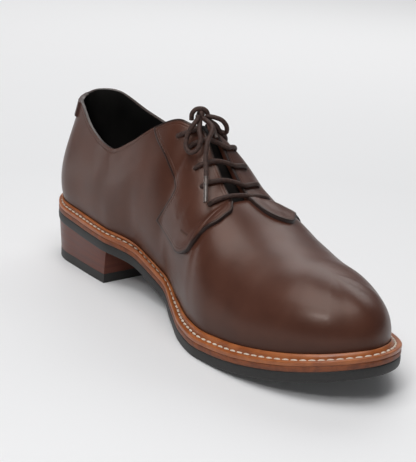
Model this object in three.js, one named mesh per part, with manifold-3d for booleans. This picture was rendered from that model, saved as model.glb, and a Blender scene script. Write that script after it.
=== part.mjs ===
// A plain toe derby, the left shoe of a pair. Millimetres, +Z up, toe toward +X, outer side toward +Y.
// The shoe is laid out from the back of its heel (x = 0) and from its centre line (y = 0), and stands on z = 0.
import * as THREE from "three";
import { mergeVertices } from "three/addons/utils/BufferGeometryUtils.js";
import Module from "manifold-3d";

const wasm = await Module();
wasm.setup();

// Sole
const soleLength = 300;
const soleWidth = 110; // across the forefoot
const outsoleThickness = 5.5;
const midsoleThickness = 2.9;
const weltThickness = 2.6;
const beadHeight = 3; // the welt's bead, above its flat rim
const beadWidth = 1.4;
const grooveDepth = 0.5; // between the bead and the rim
const rimRound = 0.65;
const heelMargin = 5; // from the sole's edge to the upper, at the heel
const toeMargin = 7;
const seatHeight = 28; // underside of the outsole, at the very back
const breastHeight = 22; // and at the front of the heel
const breastAt = 85;
const treadStart = 176; // the forefoot lies flat on the floor from here
const treadEnd = 198; // to here
const toeSpring = 16.5;
const toeSpringPower = 1.8;
const liftThickness = 6;
const heelInset = 0.8; // from the outsole's edge to the top of the heel
const heelTaper = 1.4; // how far the heel draws in from there to the floor
const breastLean = 3;

// Upper
const instepHeight = 95; // from the sole to the top of the throat
const wall = 2; // leather and lining
const insoleThickness = 2.5;
const panelThickness = 1.3;
const tongueThickness = 1.8;
const tongueRise = 6; // past the top of the throat
const tabWidth = 38;
const tabHeight = 10;
const tabThickness = 1;

// Lacing
const eyeletRadius = 1.6;
const laceArch = 0.8;
const cordStep = 4;
const laceRadius = 1.25;
const agletRadius = 1.35;
const knotRadii = { x: 6, y: 5, z: 3.8 };

// Clearances
const gap = 0.3;
const panelGap = 0.85; // between the upper and what is stitched on it
const tongueGap = 1.1;
const laceGap = 0.9; // between a bar of the lacing and what it lies on
const knotGap = 0.6;

const levels = 11; // rows of facets from the sole to the top of the upper
const heelColumns = 14;

// The outsole's edge, in shares of soleLength and soleWidth.
const outline = [
  { along: 0, medial: 0, lateral: 0 },
  { along: 0.035, medial: 0.201, lateral: 0.205 },
  { along: 0.09, medial: 0.282, lateral: 0.299 },
  { along: 0.16, medial: 0.3, lateral: 0.322 },
  { along: 0.27, medial: 0.312, lateral: 0.323 },
  { along: 0.37, medial: 0.246, lateral: 0.327 },
  { along: 0.45, medial: 0.248, lateral: 0.363 },
  { along: 0.53, medial: 0.331, lateral: 0.43 },
  { along: 0.61, medial: 0.436, lateral: 0.492 },
  { along: 0.69, medial: 0.488, lateral: 0.501 },
  { along: 0.76, medial: 0.484, lateral: 0.455 },
  { along: 0.83, medial: 0.452, lateral: 0.384 },
  { along: 0.89, medial: 0.397, lateral: 0.305 },
  { along: 0.94, medial: 0.315, lateral: 0.215 },
  { along: 0.975, medial: 0.219, lateral: 0.123 },
  { along: 1, medial: 0.067, lateral: -0.067 },
];

// The ribs of the last, from the heel to the toe. foot: where a rib leaves the sole. along, medial, lateral: where
// it ends, in shares of soleLength and soleWidth; up and upOuter: how high, in shares of instepHeight.
// crown, crownOuter: degrees below level at its top. fan: degrees that its top is turned toward the toe.
// lean, leanOuter: degrees that it leans out over the sole. rise, roll, rollOuter: how full it is below and above.
// steps: columns of facets up to the next rib. Outer is the lateral side.
const ribs = table(
  "foot  along medial lateral up    upOuter crown crownOuter fan lean leanOuter rise roll rollOuter steps",
  [0,     0.025, 0,     0,      0.747, 0.747, 82, 82, -90, 26, 26, 0.36, 0.36, 0.36, 2],
  [0.027, 0.037, 0.059, 0.073,  0.729, 0.78,  80, 80, -60, 25, 25, 0.36, 0.36, 0.36, 2],
  [0.09,  0.073, 0.125, 0.141,  0.72,  0.79,  78, 78, -30, 22, 22, 0.36, 0.36, 0.36, 2],
  [0.17,  0.157, 0.196, 0.218,  0.624, 0.7,   76, 74, -8,  18, 16, 0.36, 0.36, 0.36, 3],
  [0.27,  0.253, 0.231, 0.245,  0.578, 0.656, 74, 72, 0,   22, 16, 0.38, 0.36, 0.36, 2],
  [0.33,  0.32,  0.224, 0.227,  0.689, 0.695, 72, 66, 0,   27, 16, 0.38, 0.36, 0.36, 2],
  [0.39,  0.385, 0.182, 0.155,  0.881, 0.85,  66, 54, 0,   31, 16, 0.38, 0.36, 0.36, 3],
  [0.445, 0.453, 0.127, 0.032,  1.027, 0.995, 60, 38, 0,   30, 16, 0.39, 0.34, 0.37, 2],
  [0.48,  0.487, 0.085, -0.015, 1.025, 1,     54, 34, 0,   27, 16, 0.4,  0.34, 0.39, 5],
  [0.54,  0.543, 0.095, -0.006, 0.878, 0.856, 35, 25, 0,   20, 14, 0.43, 0.36, 0.42, 3],
  [0.6,   0.598, 0.103, 0.005,  0.708, 0.705, 9,  7,  0,   14, 12, 0.46, 0.41, 0.45, 2],
  [0.63,  0.602, 0.049, -0.049, 0.713, 0.713, 0,  0,  0,   13, 12, 0.45, 0.4,  0.42, 3],
  [0.69,  0.68,  0.049, -0.049, 0.604, 0.604, 0,  0,  0,   12, 12, 0.45, 0.43, 0.43, 3],
  [0.77,  0.755, 0.049, -0.049, 0.525, 0.525, 0,  0,  6,   12, 12, 0.44, 0.44, 0.44, 3],
  [0.86,  0.815, 0.05,  -0.05,  0.48,  0.48,  0,  0,  17,  12, 12, 0.46, 0.46, 0.46, 3],
  [0.94,  0.85,  0.055, -0.055, 0.445, 0.445, 0,  0,  42,  12, 12, 0.46, 0.47, 0.47, 2],
  [0.975, 0.861, 0.058, -0.058, 0.432, 0.432, 0,  0,  65,  12, 12, 0.46, 0.48, 0.48, 2],
  [1,     0.865, 0.06,  -0.06,  0.427, 0.427, 0,  0,  90,  12, 12, 0.46, 0.48, 0.48, 0],
);
const throatTopFoot = 0.48;
const throatBottomFoot = 0.6;
const ridgeFoot = 0.63; // from here to the toe both sides of the upper meet on its ridge

// The facings' two long edges on the upper, row by row from the topline down: shares of soleLength where the rib
// leaves the sole, and shares of that rib's length. Outer is the lateral side.
const panelRows = table(
  "backFoot backUp frontFoot frontUp outerBackFoot outerFrontFoot outerFrontUp",
  [0.385, 1,     0.47,  1,     0.385, 0.47,  1],
  [0.395, 0.94,  0.49,  1,     0.395, 0.49,  1],
  [0.421, 0.825, 0.515, 1,     0.421, 0.515, 1],
  [0.45,  0.725, 0.545, 1,     0.45,  0.545, 1],
  [0.479, 0.66,  0.575, 1,     0.479, 0.575, 1],
  [0.489, 0.635, 0.6,   1,     0.489, 0.604, 1],
  [0.485, 0.58,  0.64,  0.94,  0.485, 0.65,  0.93],
  [0.468, 0.485, 0.65,  0.84,  0.468, 0.676, 0.87],
  [0.452, 0.385, 0.645, 0.745, 0.452, 0.679, 0.77],
  [0.495, 0.372, 0.622, 0.645, 0.5,   0.658, 0.66],
  [0.528, 0.382, 0.592, 0.56,  0.54,  0.622, 0.565],
  [0.55,  0.39,  0.559, 0.41,  0.568, 0.578, 0.41],
);
// The eyelets, from the top of the throat down, in the same shares. Outer is the lateral side.
const eyelets = table(
  "foot up outerFoot outerUp",
  [0.445, 0.9,  0.468, 0.88],
  [0.476, 0.85, 0.494, 0.865],
  [0.513, 0.84, 0.522, 0.845],
  [0.545, 0.84, 0.555, 0.83],
  [0.575, 0.84, 0.592, 0.845],
);
const panelColumns = 7;
const panelSteps = 2; // rows of facets from one row of the table to the next

// Rows of the tongue, from its top edge in the throat to its root under the vamp.
const tongueFeet = [0.48, 0.51, 0.54, 0.57, 0.6, 0.63, 0.66, 0.69];

// A table whose first line names its columns.
function table(names, ...rows) {
  const columns = names.split(/\s+/);
  return rows.map((row) => Object.fromEntries(columns.map((name, i) => [name, row[i]])));
}

function clamp(value, low, high) {
  return Math.min(Math.max(value, low), high);
}

function mix(a, b, share) {
  return a + (b - a) * share;
}

function smooth(share) {
  const s = clamp(share, 0, 1);
  return s * s * (3 - 2 * s);
}

function hermite(y0, slope0, y1, slope1, width, share) {
  const s2 = share * share;
  const s3 = s2 * share;
  return y0 * (2 * s3 - 3 * s2 + 1) + slope0 * width * (s3 - 2 * s2 + share)
    + y1 * (3 * s2 - 2 * s3) + slope1 * width * (s3 - s2);
}

// Places along the sole are named by their turn, from 0 at the heel to 1 at the toe, as on a half circle: turns lie
// close together at both round ends.
function turnAt(share) {
  return Math.acos(1 - 2 * clamp(share, 0, 1)) / Math.PI;
}

function shareAt(turn) {
  return (1 - Math.cos(Math.PI * turn)) / 2;
}

// A smooth curve through one column of a table, over the turn of another, that doesn't overshoot between rows.
function curve(rows, place, column) {
  const xs = rows.map((row) => turnAt(row[place]));
  const ys = rows.map((row) => row[column]);
  const rates = xs.slice(1).map((x, i) => (ys[i + 1] - ys[i]) / (x - xs[i]));
  const slopes = xs.map((x, i) => {
    if (i === 0) return rates[0];
    if (i === xs.length - 1) return rates[i - 1];
    const [before, after] = [rates[i - 1], rates[i]];
    if (before * after <= 0) return 0;
    const [back, ahead] = [x - xs[i - 1], xs[i + 1] - x];
    const mean = (before * ahead + after * back) / (back + ahead);
    return Math.sign(mean) * Math.min(Math.abs(mean), 3 * Math.abs(before), 3 * Math.abs(after));
  });
  return (turn) => {
    let i = 0;
    while (i < xs.length - 2 && turn > xs[i + 1]) i += 1;
    const width = xs[i + 1] - xs[i];
    return hermite(ys[i], slopes[i], ys[i + 1], slopes[i + 1], width, clamp((turn - xs[i]) / width, 0, 1));
  };
}

const edge = { medial: curve(outline, "along", "medial"), lateral: curve(outline, "along", "lateral") };
const last = {};
for (const name of Object.keys(ribs[0])) last[name] = curve(ribs, "foot", name);
const ridgeTurn = turnAt(ridgeFoot);

const MEDIAL = -1;
const LATERAL = 1;

// Sole

function edgePoint(side, turn) {
  const across = side === MEDIAL ? edge.medial(turn) : edge.lateral(turn);
  return new THREE.Vector2(soleLength * shareAt(turn), side * soleWidth * across);
}

// The direction that points straight out from the sole's edge.
function outward(side, turn) {
  if (turn < 1e-6) return new THREE.Vector2(-1, 0);
  if (turn > 1 - 1e-6) return new THREE.Vector2(1, 0);
  const step = 0.004;
  const along = edgePoint(side, Math.min(turn + step, 1)).sub(edgePoint(side, Math.max(turn - step, 0)));
  return new THREE.Vector2(-side * along.y, side * along.x).normalize();
}

function insetPoint(side, turn, inset) {
  return edgePoint(side, turn).addScaledVector(outward(side, turn), -inset);
}

// Height of the outsole's underside.
function underside(x) {
  const slope = (breastHeight - seatHeight) / breastAt;
  if (x < breastAt) return seatHeight + slope * Math.max(x, 0);
  if (x < treadStart) {
    const width = treadStart - breastAt;
    return hermite(breastHeight, slope, 0, 0, width, (x - breastAt) / width);
  }
  if (x < treadEnd) return 0;
  return toeSpring * ((x - treadEnd) / (soleLength - treadEnd)) ** toeSpringPower;
}

const midsoleBottom = (x) => underside(x) + outsoleThickness + gap;
const midsoleTop = (x) => midsoleBottom(x) + midsoleThickness;
const featherHeight = (x) => midsoleTop(x) + gap; // what stands on the midsole starts here

// Upper

// From the sole's edge to the foot of the upper.
function margin(turn) {
  return mix(heelMargin, toeMargin, smooth((turn - 0.35) / 0.4));
}

function footPoint(side, turn) {
  const at = insetPoint(side, turn, margin(turn));
  return new THREE.Vector3(at.x, at.y, featherHeight(at.x));
}

function topPoint(side, turn) {
  const x = soleLength * last.along(turn);
  const across = side === MEDIAL ? last.medial(turn) : last.lateral(turn);
  const up = side === MEDIAL ? last.up(turn) : last.upOuter(turn);
  return new THREE.Vector3(x, side * soleWidth * across, featherHeight(x) + instepHeight * up);
}

// How steeply the ridge of the vamp falls toward the toe.
function ridgeFall(turn) {
  const behind = topPoint(LATERAL, Math.max(turn - 0.012, ridgeTurn));
  const here = topPoint(LATERAL, Math.max(turn - 0.006, ridgeTurn + 0.006));
  return (behind.z - here.z) / (here.x - behind.x);
}

// The four control points of a rib.
function rib(side, turn) {
  const foot = footPoint(side, turn);
  const top = topPoint(side, turn);
  const out = outward(side, turn);
  const length = foot.distanceTo(top);
  const inner = side === MEDIAL;
  const lean = THREE.MathUtils.degToRad(inner ? last.lean(turn) : last.leanOuter(turn));
  const crown = THREE.MathUtils.degToRad(inner ? last.crown(turn) : last.crownOuter(turn));
  const fan = THREE.MathUtils.degToRad(last.fan(turn));
  const start = new THREE.Vector3(out.x * Math.sin(lean), out.y * Math.sin(lean), Math.cos(lean));
  const end = new THREE.Vector3(
    Math.sin(fan) * Math.cos(crown), side * Math.cos(fan) * Math.cos(crown), -Math.sin(crown));
  if (turn >= ridgeTurn) end.z -= Math.sin(fan) * ridgeFall(turn);
  const roll = inner ? last.roll(turn) : last.rollOuter(turn);
  return new THREE.CubicBezierCurve3(
    foot,
    foot.clone().addScaledVector(start, last.rise(turn) * length),
    top.clone().addScaledVector(end.normalize(), roll * length),
    top,
  );
}

// A point of the upper's outer face: up is 0 at the sole and 1 at its top edge or ridge.
function skin(side, turn, up) {
  return rib(side, turn).getPoint(clamp(up, 0, 1));
}

function skinNormal(side, turn, up) {
  if (up === 1 && turn >= ridgeTurn) return new THREE.Vector3(ridgeFall(turn), 0, 1).normalize();
  const stepTurn = 0.003;
  const stepUp = 0.01;
  const along = skin(side, Math.min(turn + stepTurn, 1), up).sub(skin(side, Math.max(turn - stepTurn, 0), up));
  const rise = skin(side, turn, up + stepUp).sub(skin(side, turn, up - stepUp));
  const normal = along.cross(rise).normalize().multiplyScalar(-side);
  if (turn < 1e-6 || turn > 1 - 1e-6) normal.setY(0).normalize(); // both sides share these two ribs
  return normal;
}

// A point at a distance from the upper's outer face, outside it if positive.
function offSkin(side, turn, up, distance) {
  return skin(side, turn, up).addScaledVector(skinNormal(side, turn, up), distance);
}

// The turns of all ribs of facets, from heel to toe.
const turns = ribs.flatMap((row, i) => {
  if (i === ribs.length - 1) return [1];
  const [from, to] = [turnAt(row.foot), turnAt(ribs[i + 1].foot)];
  return Array.from({ length: row.steps }, (_, k) => mix(from, to, k / row.steps));
});

// Once round the shoe: the medial side from heel to toe, then the lateral side back.
const round = [
  ...turns.map((turn) => ({ side: MEDIAL, turn })),
  ...turns.slice(1, -1).reverse().map((turn) => ({ side: LATERAL, turn })),
];

// Solids

// A closed faceted surface. Points closer than a thousandth of a millimetre are one.
class Facets {
  points = [];
  faces = [];
  numbers = new Map();

  number(point) {
    const key = point.toArray().map((value) => Math.round(value * 1000)).join();
    if (!this.numbers.has(key)) {
      this.numbers.set(key, this.points.length);
      this.points.push(point);
    }
    return this.numbers.get(key);
  }

  triangle(a, b, c) {
    const face = [this.number(a), this.number(b), this.number(c)];
    if (new Set(face).size === 3) this.faces.push(face);
  }

  quad(a, b, c, d) {
    this.triangle(a, b, c);
    this.triangle(a, c, d);
  }

  volume() {
    return this.faces.reduce((sum, [a, b, c]) => {
      const normal = this.points[b].clone().cross(this.points[c]);
      return sum + this.points[a].dot(normal) / 6;
    }, 0);
  }

  geometry() {
    if (this.volume() < 0) for (const face of this.faces) face.reverse();
    const positions = this.points.flatMap((point) => point.toArray());
    const made = new THREE.BufferGeometry();
    made.setAttribute("position", new THREE.Float32BufferAttribute(positions, 3));
    made.setIndex(this.faces.flat());
    made.computeVertexNormals();
    return made;
  }
}

// A sheet with thickness: two grids of points, joined along their four edges.
function sheet(outer, inner) {
  const facets = new Facets();
  const rows = outer.length;
  const columns = outer[0].length;
  for (let i = 0; i < rows - 1; i += 1) {
    for (let k = 0; k < columns - 1; k += 1) {
      facets.quad(outer[i][k], outer[i + 1][k], outer[i + 1][k + 1], outer[i][k + 1]);
      facets.quad(inner[i][k], inner[i][k + 1], inner[i + 1][k + 1], inner[i + 1][k]);
    }
    facets.quad(outer[i][0], inner[i][0], inner[i + 1][0], outer[i + 1][0]);
    facets.quad(outer[i + 1][columns - 1], inner[i + 1][columns - 1], inner[i][columns - 1], outer[i][columns - 1]);
  }
  for (let k = 0; k < columns - 1; k += 1) {
    facets.quad(outer[0][k + 1], inner[0][k + 1], inner[0][k], outer[0][k]);
    facets.quad(outer[rows - 1][k], inner[rows - 1][k], inner[rows - 1][k + 1], outer[rows - 1][k + 1]);
  }
  return facets.geometry();
}

// A ring that runs once round the shoe with one profile at each place.
function ring(profileAt) {
  const facets = new Facets();
  const profiles = round.map(profileAt);
  profiles.forEach((profile, i) => {
    const next = profiles[(i + 1) % profiles.length];
    profile.forEach((point, k) => {
      const after = (k + 1) % profile.length;
      facets.quad(point, next[k], next[after], profile[after]);
    });
  });
  return facets.geometry();
}

// A layer of the sole or heel: its lower and upper faces each have an inset, a height and a share of the length.
function layer(low, high) {
  const facets = new Facets();
  const rows = [low, high].map(({ inset, height, until }) => {
    const stop = turnAt(until / soleLength);
    const heelTurns = Array.from({ length: heelColumns + 1 }, (_, k) => (stop * k) / heelColumns);
    const places = until < soleLength ? heelTurns : turns;
    return places.map((turn) => [MEDIAL, LATERAL].map((side) => {
      const at = insetPoint(side, turn, inset(turn));
      return new THREE.Vector3(at.x, at.y, height(at.x));
    }));
  });
  const [lower, upper] = rows;
  for (let i = 0; i < lower.length - 1; i += 1) {
    facets.quad(lower[i][0], lower[i][1], lower[i + 1][1], lower[i + 1][0]);
    facets.quad(upper[i][0], upper[i + 1][0], upper[i + 1][1], upper[i][1]);
    facets.quad(lower[i][0], lower[i + 1][0], upper[i + 1][0], upper[i][0]);
    facets.quad(lower[i][1], upper[i][1], upper[i + 1][1], lower[i + 1][1]);
  }
  const end = lower.length - 1;
  facets.quad(lower[end][0], lower[end][1], upper[end][1], upper[end][0]);
  return facets.geometry();
}

function solidOf(geometry) {
  const bare = new THREE.BufferGeometry();
  bare.setAttribute("position", geometry.getAttribute("position"));
  if (geometry.index) bare.setIndex(geometry.index);
  const merged = mergeVertices(bare, 1e-4);
  return new wasm.Manifold(new wasm.Mesh({
    numProp: 3,
    vertProperties: merged.getAttribute("position").array,
    triVerts: new Uint32Array(merged.index.array),
  }));
}

// The geometry with the tools' volume taken away.
function cut(geometry, tools) {
  const rest = tools.reduce((solid, tool) => solid.subtract(solidOf(tool)), solidOf(geometry));
  const mesh = rest.getMesh();
  const made = new THREE.BufferGeometry();
  made.setAttribute("position", new THREE.Float32BufferAttribute(mesh.vertProperties, 3));
  made.setIndex(Array.from(mesh.triVerts));
  made.computeVertexNormals();
  return made;
}

// Eyelets

function eyeletPlace(side, number) {
  const { foot, up, outerFoot, outerUp } = eyelets[number];
  return side === MEDIAL ? { side, turn: turnAt(foot), up } : { side, turn: turnAt(outerFoot), up: outerUp };
}

// The turn at which the throat's edge comes closest to an eyelet.
function nearestEdge({ side, turn, up }) {
  const from = skin(side, turn, up);
  const distance = (at) => skin(side, at, 1).distanceTo(from);
  const span = turnAt(throatBottomFoot) - turnAt(throatTopFoot);
  const places = Array.from({ length: 41 }, (_, k) => turnAt(throatTopFoot) + (span * k) / 40);
  return places.reduce((best, at) => (distance(at) < distance(best) ? at : best));
}

function punch({ side, turn, up }) {
  const reach = wall + panelGap + panelThickness + 2;
  const hole = new THREE.CylinderGeometry(eyeletRadius, eyeletRadius, 2 * reach, 8);
  const normal = skinNormal(side, turn, up);
  hole.applyQuaternion(new THREE.Quaternion().setFromUnitVectors(new THREE.Vector3(0, 1, 0), normal));
  const at = skin(side, turn, up);
  return hole.translate(at.x, at.y, at.z);
}

// Pieces

function upperGeometry() {
  const facets = new Facets();
  const columns = round.map(({ side, turn }) => {
    const outer = [];
    const inner = [];
    for (let k = 0; k <= levels; k += 1) {
      const up = k / levels;
      outer.push(skin(side, turn, up));
      if (k > 0) inner.push(offSkin(side, turn, up, -wall));
      else {
        const at = insetPoint(side, turn, margin(turn) + wall);
        inner.push(new THREE.Vector3(at.x, at.y, outer[0].z));
      }
    }
    return { outer, inner, closed: turn >= ridgeTurn };
  });
  columns.forEach((column, i) => {
    const next = columns[(i + 1) % columns.length];
    for (let k = 0; k < levels; k += 1) {
      facets.quad(column.outer[k], next.outer[k], next.outer[k + 1], column.outer[k + 1]);
      facets.quad(column.inner[k], column.inner[k + 1], next.inner[k + 1], next.inner[k]);
    }
    facets.quad(column.outer[0], column.inner[0], next.inner[0], next.outer[0]);
    if (!(column.closed && next.closed)) {
      facets.quad(next.outer[levels], next.inner[levels], column.inner[levels], column.outer[levels]);
    }
  });
  const holes = [MEDIAL, LATERAL].flatMap((side) => eyelets.map((_, k) => punch(eyeletPlace(side, k))));
  return cut(facets.geometry(), holes);
}

function panelGeometry(side) {
  const inner = side === MEDIAL;
  const rows = Array.from({ length: (panelRows.length - 1) * panelSteps + 1 }, (_, i) => {
    const [row, next] = [Math.floor(i / panelSteps), Math.ceil(i / panelSteps)].map((k) => panelRows[k]);
    const share = (i % panelSteps) / panelSteps;
    return Object.fromEntries(Object.keys(row).map((name) => [name, mix(row[name], next[name], share)]));
  });
  const grid = (distance) => rows.map((row) => Array.from({ length: panelColumns }, (_, k) => {
    const share = k / (panelColumns - 1);
    const back = turnAt(inner ? row.backFoot : row.outerBackFoot);
    const front = turnAt(inner ? row.frontFoot : row.outerFrontFoot);
    const frontUp = inner ? row.frontUp : row.outerFrontUp;
    return offSkin(side, mix(back, front, share), mix(row.backUp, frontUp, share), distance);
  }));
  const plain = sheet(grid(panelGap + panelThickness), grid(panelGap));
  return cut(plain, eyelets.map((_, k) => punch(eyeletPlace(side, k))));
}

// The tongue lies on the inside of the upper and bridges the throat between its two edges.
function tongueGeometry() {
  const inside = [0.78, 0.86, 0.94];
  const grid = (depth) => {
    const rows = tongueFeet.map((foot) => {
      const turn = turnAt(foot);
      const half = (side) => inside.map((up) => offSkin(side, turn, up, -depth));
      const middle = offSkin(MEDIAL, turn, 1, -depth).lerp(offSkin(LATERAL, turn, 1, -depth), 0.5);
      return [...half(MEDIAL), middle, ...half(LATERAL).reverse()];
    });
    const top = rows[0].map((point, k) => {
      const ahead = point.clone().sub(rows[1][k]).normalize();
      return point.clone().addScaledVector(ahead, tongueRise);
    });
    return [top, ...rows];
  };
  return sheet(grid(wall + tongueGap), grid(wall + tongueGap + tongueThickness));
}

// A storm welt: a flat rim level with the sole's edge, and a bead that stands up against the upper.
function weltGeometry() {
  return ring(({ side, turn }) => {
    const spread = margin(turn);
    const flat = (inset, height) => {
      const at = insetPoint(side, turn, inset);
      return new THREE.Vector3(at.x, at.y, featherHeight(at.x) + height);
    };
    const rise = (weltThickness + beadHeight) / footPoint(side, turn).distanceTo(topPoint(side, turn));
    const beadTop = offSkin(side, turn, rise / (3 * last.rise(turn)), panelGap);
    const out = outward(side, turn);
    const beadSide = beadTop.clone().add(new THREE.Vector3(out.x * beadWidth, out.y * beadWidth, -grooveDepth));
    return [
      flat(spread - panelGap, 0),
      beadTop,
      beadSide,
      flat(spread * 0.5, weltThickness - grooveDepth),
      flat(spread * 0.35, weltThickness),
      flat(rimRound, weltThickness),
      flat(0, weltThickness - rimRound),
      flat(0, 0),
    ];
  });
}

function heelTabGeometry() {
  const back = topPoint(MEDIAL, 0);
  let reach = 0;
  while (topPoint(MEDIAL, reach).distanceTo(back) < tabWidth / 2) reach += 0.002;
  const steps = [-1, -0.8, -0.6, -0.4, -0.2, 0, 0.2, 0.4, 0.6, 0.8, 1];
  const depth = tabHeight / footPoint(MEDIAL, 0).distanceTo(back);
  const grid = (distance) => [0, 0.35, 0.7, 1].map((share) => steps.map((step) => {
    const side = step < 0 ? MEDIAL : LATERAL;
    return offSkin(side, Math.abs(step) * reach, 1 - depth * share, distance);
  }));
  return sheet(grid(panelGap + tabThickness), grid(panelGap));
}

// A lace along chosen points: a tube with eight sides.
function cordGeometry(points, radius, stepLength) {
  const path = new THREE.CatmullRomCurve3(points, false, "centripetal");
  const section = new THREE.Shape(Array.from({ length: 8 }, (_, k) => {
    const angle = (k * Math.PI) / 4;
    return new THREE.Vector2(radius * Math.cos(angle), radius * Math.sin(angle));
  }));
  const steps = Math.max(3, Math.round(path.getLength() / stepLength));
  return new THREE.ExtrudeGeometry(section, { steps, extrudePath: path, bevelEnabled: false });
}

// The lace on its way from an eyelet to the throat's edge: it rises out of the hole and lies on the facing.
function laceFrom(side, number, shares) {
  const { turn, up } = eyeletPlace(side, number);
  const edgeTurn = nearestEdge({ side, turn, up });
  const surface = panelGap + panelThickness;
  const start = offSkin(side, turn, up, surface + laceGap);
  const lying = shares.map((share) => {
    return offSkin(side, mix(turn, edgeTurn, share), mix(up, 1, share), surface + laceGap + laceRadius);
  });
  return [start, ...lying];
}

// A bar of the lacing: out of one eyelet, over both facings and the throat, to the eyelet across.
function barGeometry(number) {
  const [near, far] = [MEDIAL, LATERAL].map((side) => laceFrom(side, number, [0.15, 0.5, 0.9]));
  const middle = near.at(-1).clone().lerp(far.at(-1), 0.5).add(new THREE.Vector3(laceArch / 2, 0, laceArch));
  return cordGeometry([...near, middle, ...far.reverse()], laceRadius, cordStep);
}

// Where the lace goes beyond the knot, and where its aglets lie.
const laceRoutes = {
  lace_loop_medial: [
    [147.6, -15.6, 117.4], [146.6, -19.6, 111.6], [146.6, -21.4, 106.6], [149, -22.8, 102.4], [153.6, -22.4, 100.4],
    [157.8, -19.4, 102.2], [157, -17, 107.4], [152, -16, 112.6],
  ],
  lace_loop_lateral: [
    [151.7, 0.2, 119.4], [154.1, 3.6, 117.4], [154.9, 6, 113.4], [153.1, 6.4, 110.2], [150.9, 4.2, 110.8], [151.4, 0.6, 115.2],
  ],
  lace_end_medial: [
    [156.6, -10.9, 114.6], [160.8, -17.2, 107.6], [163.6, -20.2, 100.9], [167.2, -22.4, 95], [170.2, -24.4, 90.6],
  ],
  lace_end_lateral: [[150, -5.2, 113.4], [151.4, -5.2, 111.6]],
};
const agletRoutes = {
  aglet_medial: [[170.4, -24.5, 90.3], [173, -26.4, 86.1], [175.6, -28.2, 82.4], [178.2, -30.2, 78.6]],
  aglet_lateral: [[151.6, -5.2, 111.3], [153, -5.3, 109.4], [154.4, -5.5, 107.6]],
};
const knotAt = [145, -7.6, 119.2];

function routePoints(route) {
  return route.map((place) => new THREE.Vector3(...place));
}

// The place just off the knot that faces a point.
function offKnot(point) {
  const centre = new THREE.Vector3(...knotAt);
  const toward = point.clone().sub(centre).normalize();
  const { x, y, z } = knotRadii;
  const reach = 1 / Math.hypot(toward.x / x, toward.y / y, toward.z / z);
  return centre.addScaledVector(toward, reach + knotGap);
}

function routeGeometry(name) {
  const route = routePoints(laceRoutes[name]);
  const end = name.includes("loop") ? [offKnot(route.at(-1))] : [];
  return cordGeometry([offKnot(route[0]), ...route, ...end], laceRadius, cordStep);
}

// A strand from a top eyelet to the knot.
function strandGeometry(side) {
  const lying = laceFrom(side, 0, [0.15, 0.5, 0.85]);
  return cordGeometry([...lying, offKnot(lying.at(-1))], laceRadius, 3);
}

// Assembly

const leather = new THREE.MeshStandardMaterial({ color: 0x5f4138, roughness: 0.42, metalness: 0 });
const lining = new THREE.MeshStandardMaterial({ color: 0x15120f, roughness: 0.8, metalness: 0 });
const tan = new THREE.MeshStandardMaterial({ color: 0xa55f32, roughness: 0.55, metalness: 0 });
const stack = new THREE.MeshStandardMaterial({ color: 0x55322a, roughness: 0.45, metalness: 0 });
const rubber = new THREE.MeshStandardMaterial({ color: 0x2d2d2b, roughness: 0.75, metalness: 0 });
const lace = new THREE.MeshStandardMaterial({ color: 0x3a2620, roughness: 0.7, metalness: 0 });
const clear = new THREE.MeshStandardMaterial({ color: 0x9a9490, roughness: 0.2, metalness: 0 });

const shoe = new THREE.Group();

function piece(name, geometry, material) {
  const mesh = new THREE.Mesh(geometry, material.clone());
  mesh.name = name;
  shoe.add(mesh);
  return mesh;
}

const flush = () => 0;
const heelTop = () => heelInset;
const heelFoot = () => heelInset + heelTaper;
const insideUpper = (turn) => margin(turn) + wall + panelGap;
const heelEnd = breastAt - breastLean;
piece("heel_lift", layer(
  { inset: heelFoot, height: () => 0, until: heelEnd },
  { inset: heelFoot, height: () => liftThickness, until: heelEnd },
), rubber);
piece("heel_block", layer(
  { inset: heelFoot, height: () => liftThickness + gap, until: heelEnd },
  { inset: heelTop, height: (x) => underside(x) - gap, until: breastAt },
), stack);
piece("outsole", layer(
  { inset: flush, height: underside, until: soleLength },
  { inset: flush, height: (x) => underside(x) + outsoleThickness, until: soleLength },
), rubber);
piece("midsole", layer(
  { inset: flush, height: midsoleBottom, until: soleLength },
  { inset: flush, height: midsoleTop, until: soleLength },
), tan);
piece("insole", layer(
  { inset: insideUpper, height: featherHeight, until: soleLength },
  { inset: insideUpper, height: (x) => featherHeight(x) + insoleThickness, until: soleLength },
), lining);
piece("welt", weltGeometry(), tan);
piece("upper", upperGeometry(), leather);
piece("facing_medial", panelGeometry(MEDIAL), leather);
piece("facing_lateral", panelGeometry(LATERAL), leather);
piece("tongue", tongueGeometry(), leather);
piece("heel_tab", heelTabGeometry(), lining);
piece("lace_strand_medial", strandGeometry(MEDIAL), lace);
piece("lace_strand_lateral", strandGeometry(LATERAL), lace);
for (let number = 1; number < eyelets.length; number += 1) {
  piece(`lace_bar_${number + 1}`, barGeometry(number), lace);
}
for (const name of Object.keys(laceRoutes)) piece(name, routeGeometry(name), lace);
for (const [name, route] of Object.entries(agletRoutes)) {
  piece(name, cordGeometry(routePoints(route), agletRadius, cordStep), clear);
}
const knot = piece("lace_knot", new THREE.SphereGeometry(1, 12, 8), lace);
knot.scale.set(knotRadii.x, knotRadii.y, knotRadii.z);
knot.position.set(...knotAt);

// The part's origin is on the floor, under the middle of the sole's length and width.
const across = { medial: 0, lateral: 0 };
for (const turn of turns) {
  across.medial = Math.min(across.medial, edgePoint(MEDIAL, turn).y);
  across.lateral = Math.max(across.lateral, edgePoint(LATERAL, turn).y);
}
shoe.position.set(-soleLength / 2, -(across.medial + across.lateral) / 2, 0);

export default shoe;
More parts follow.
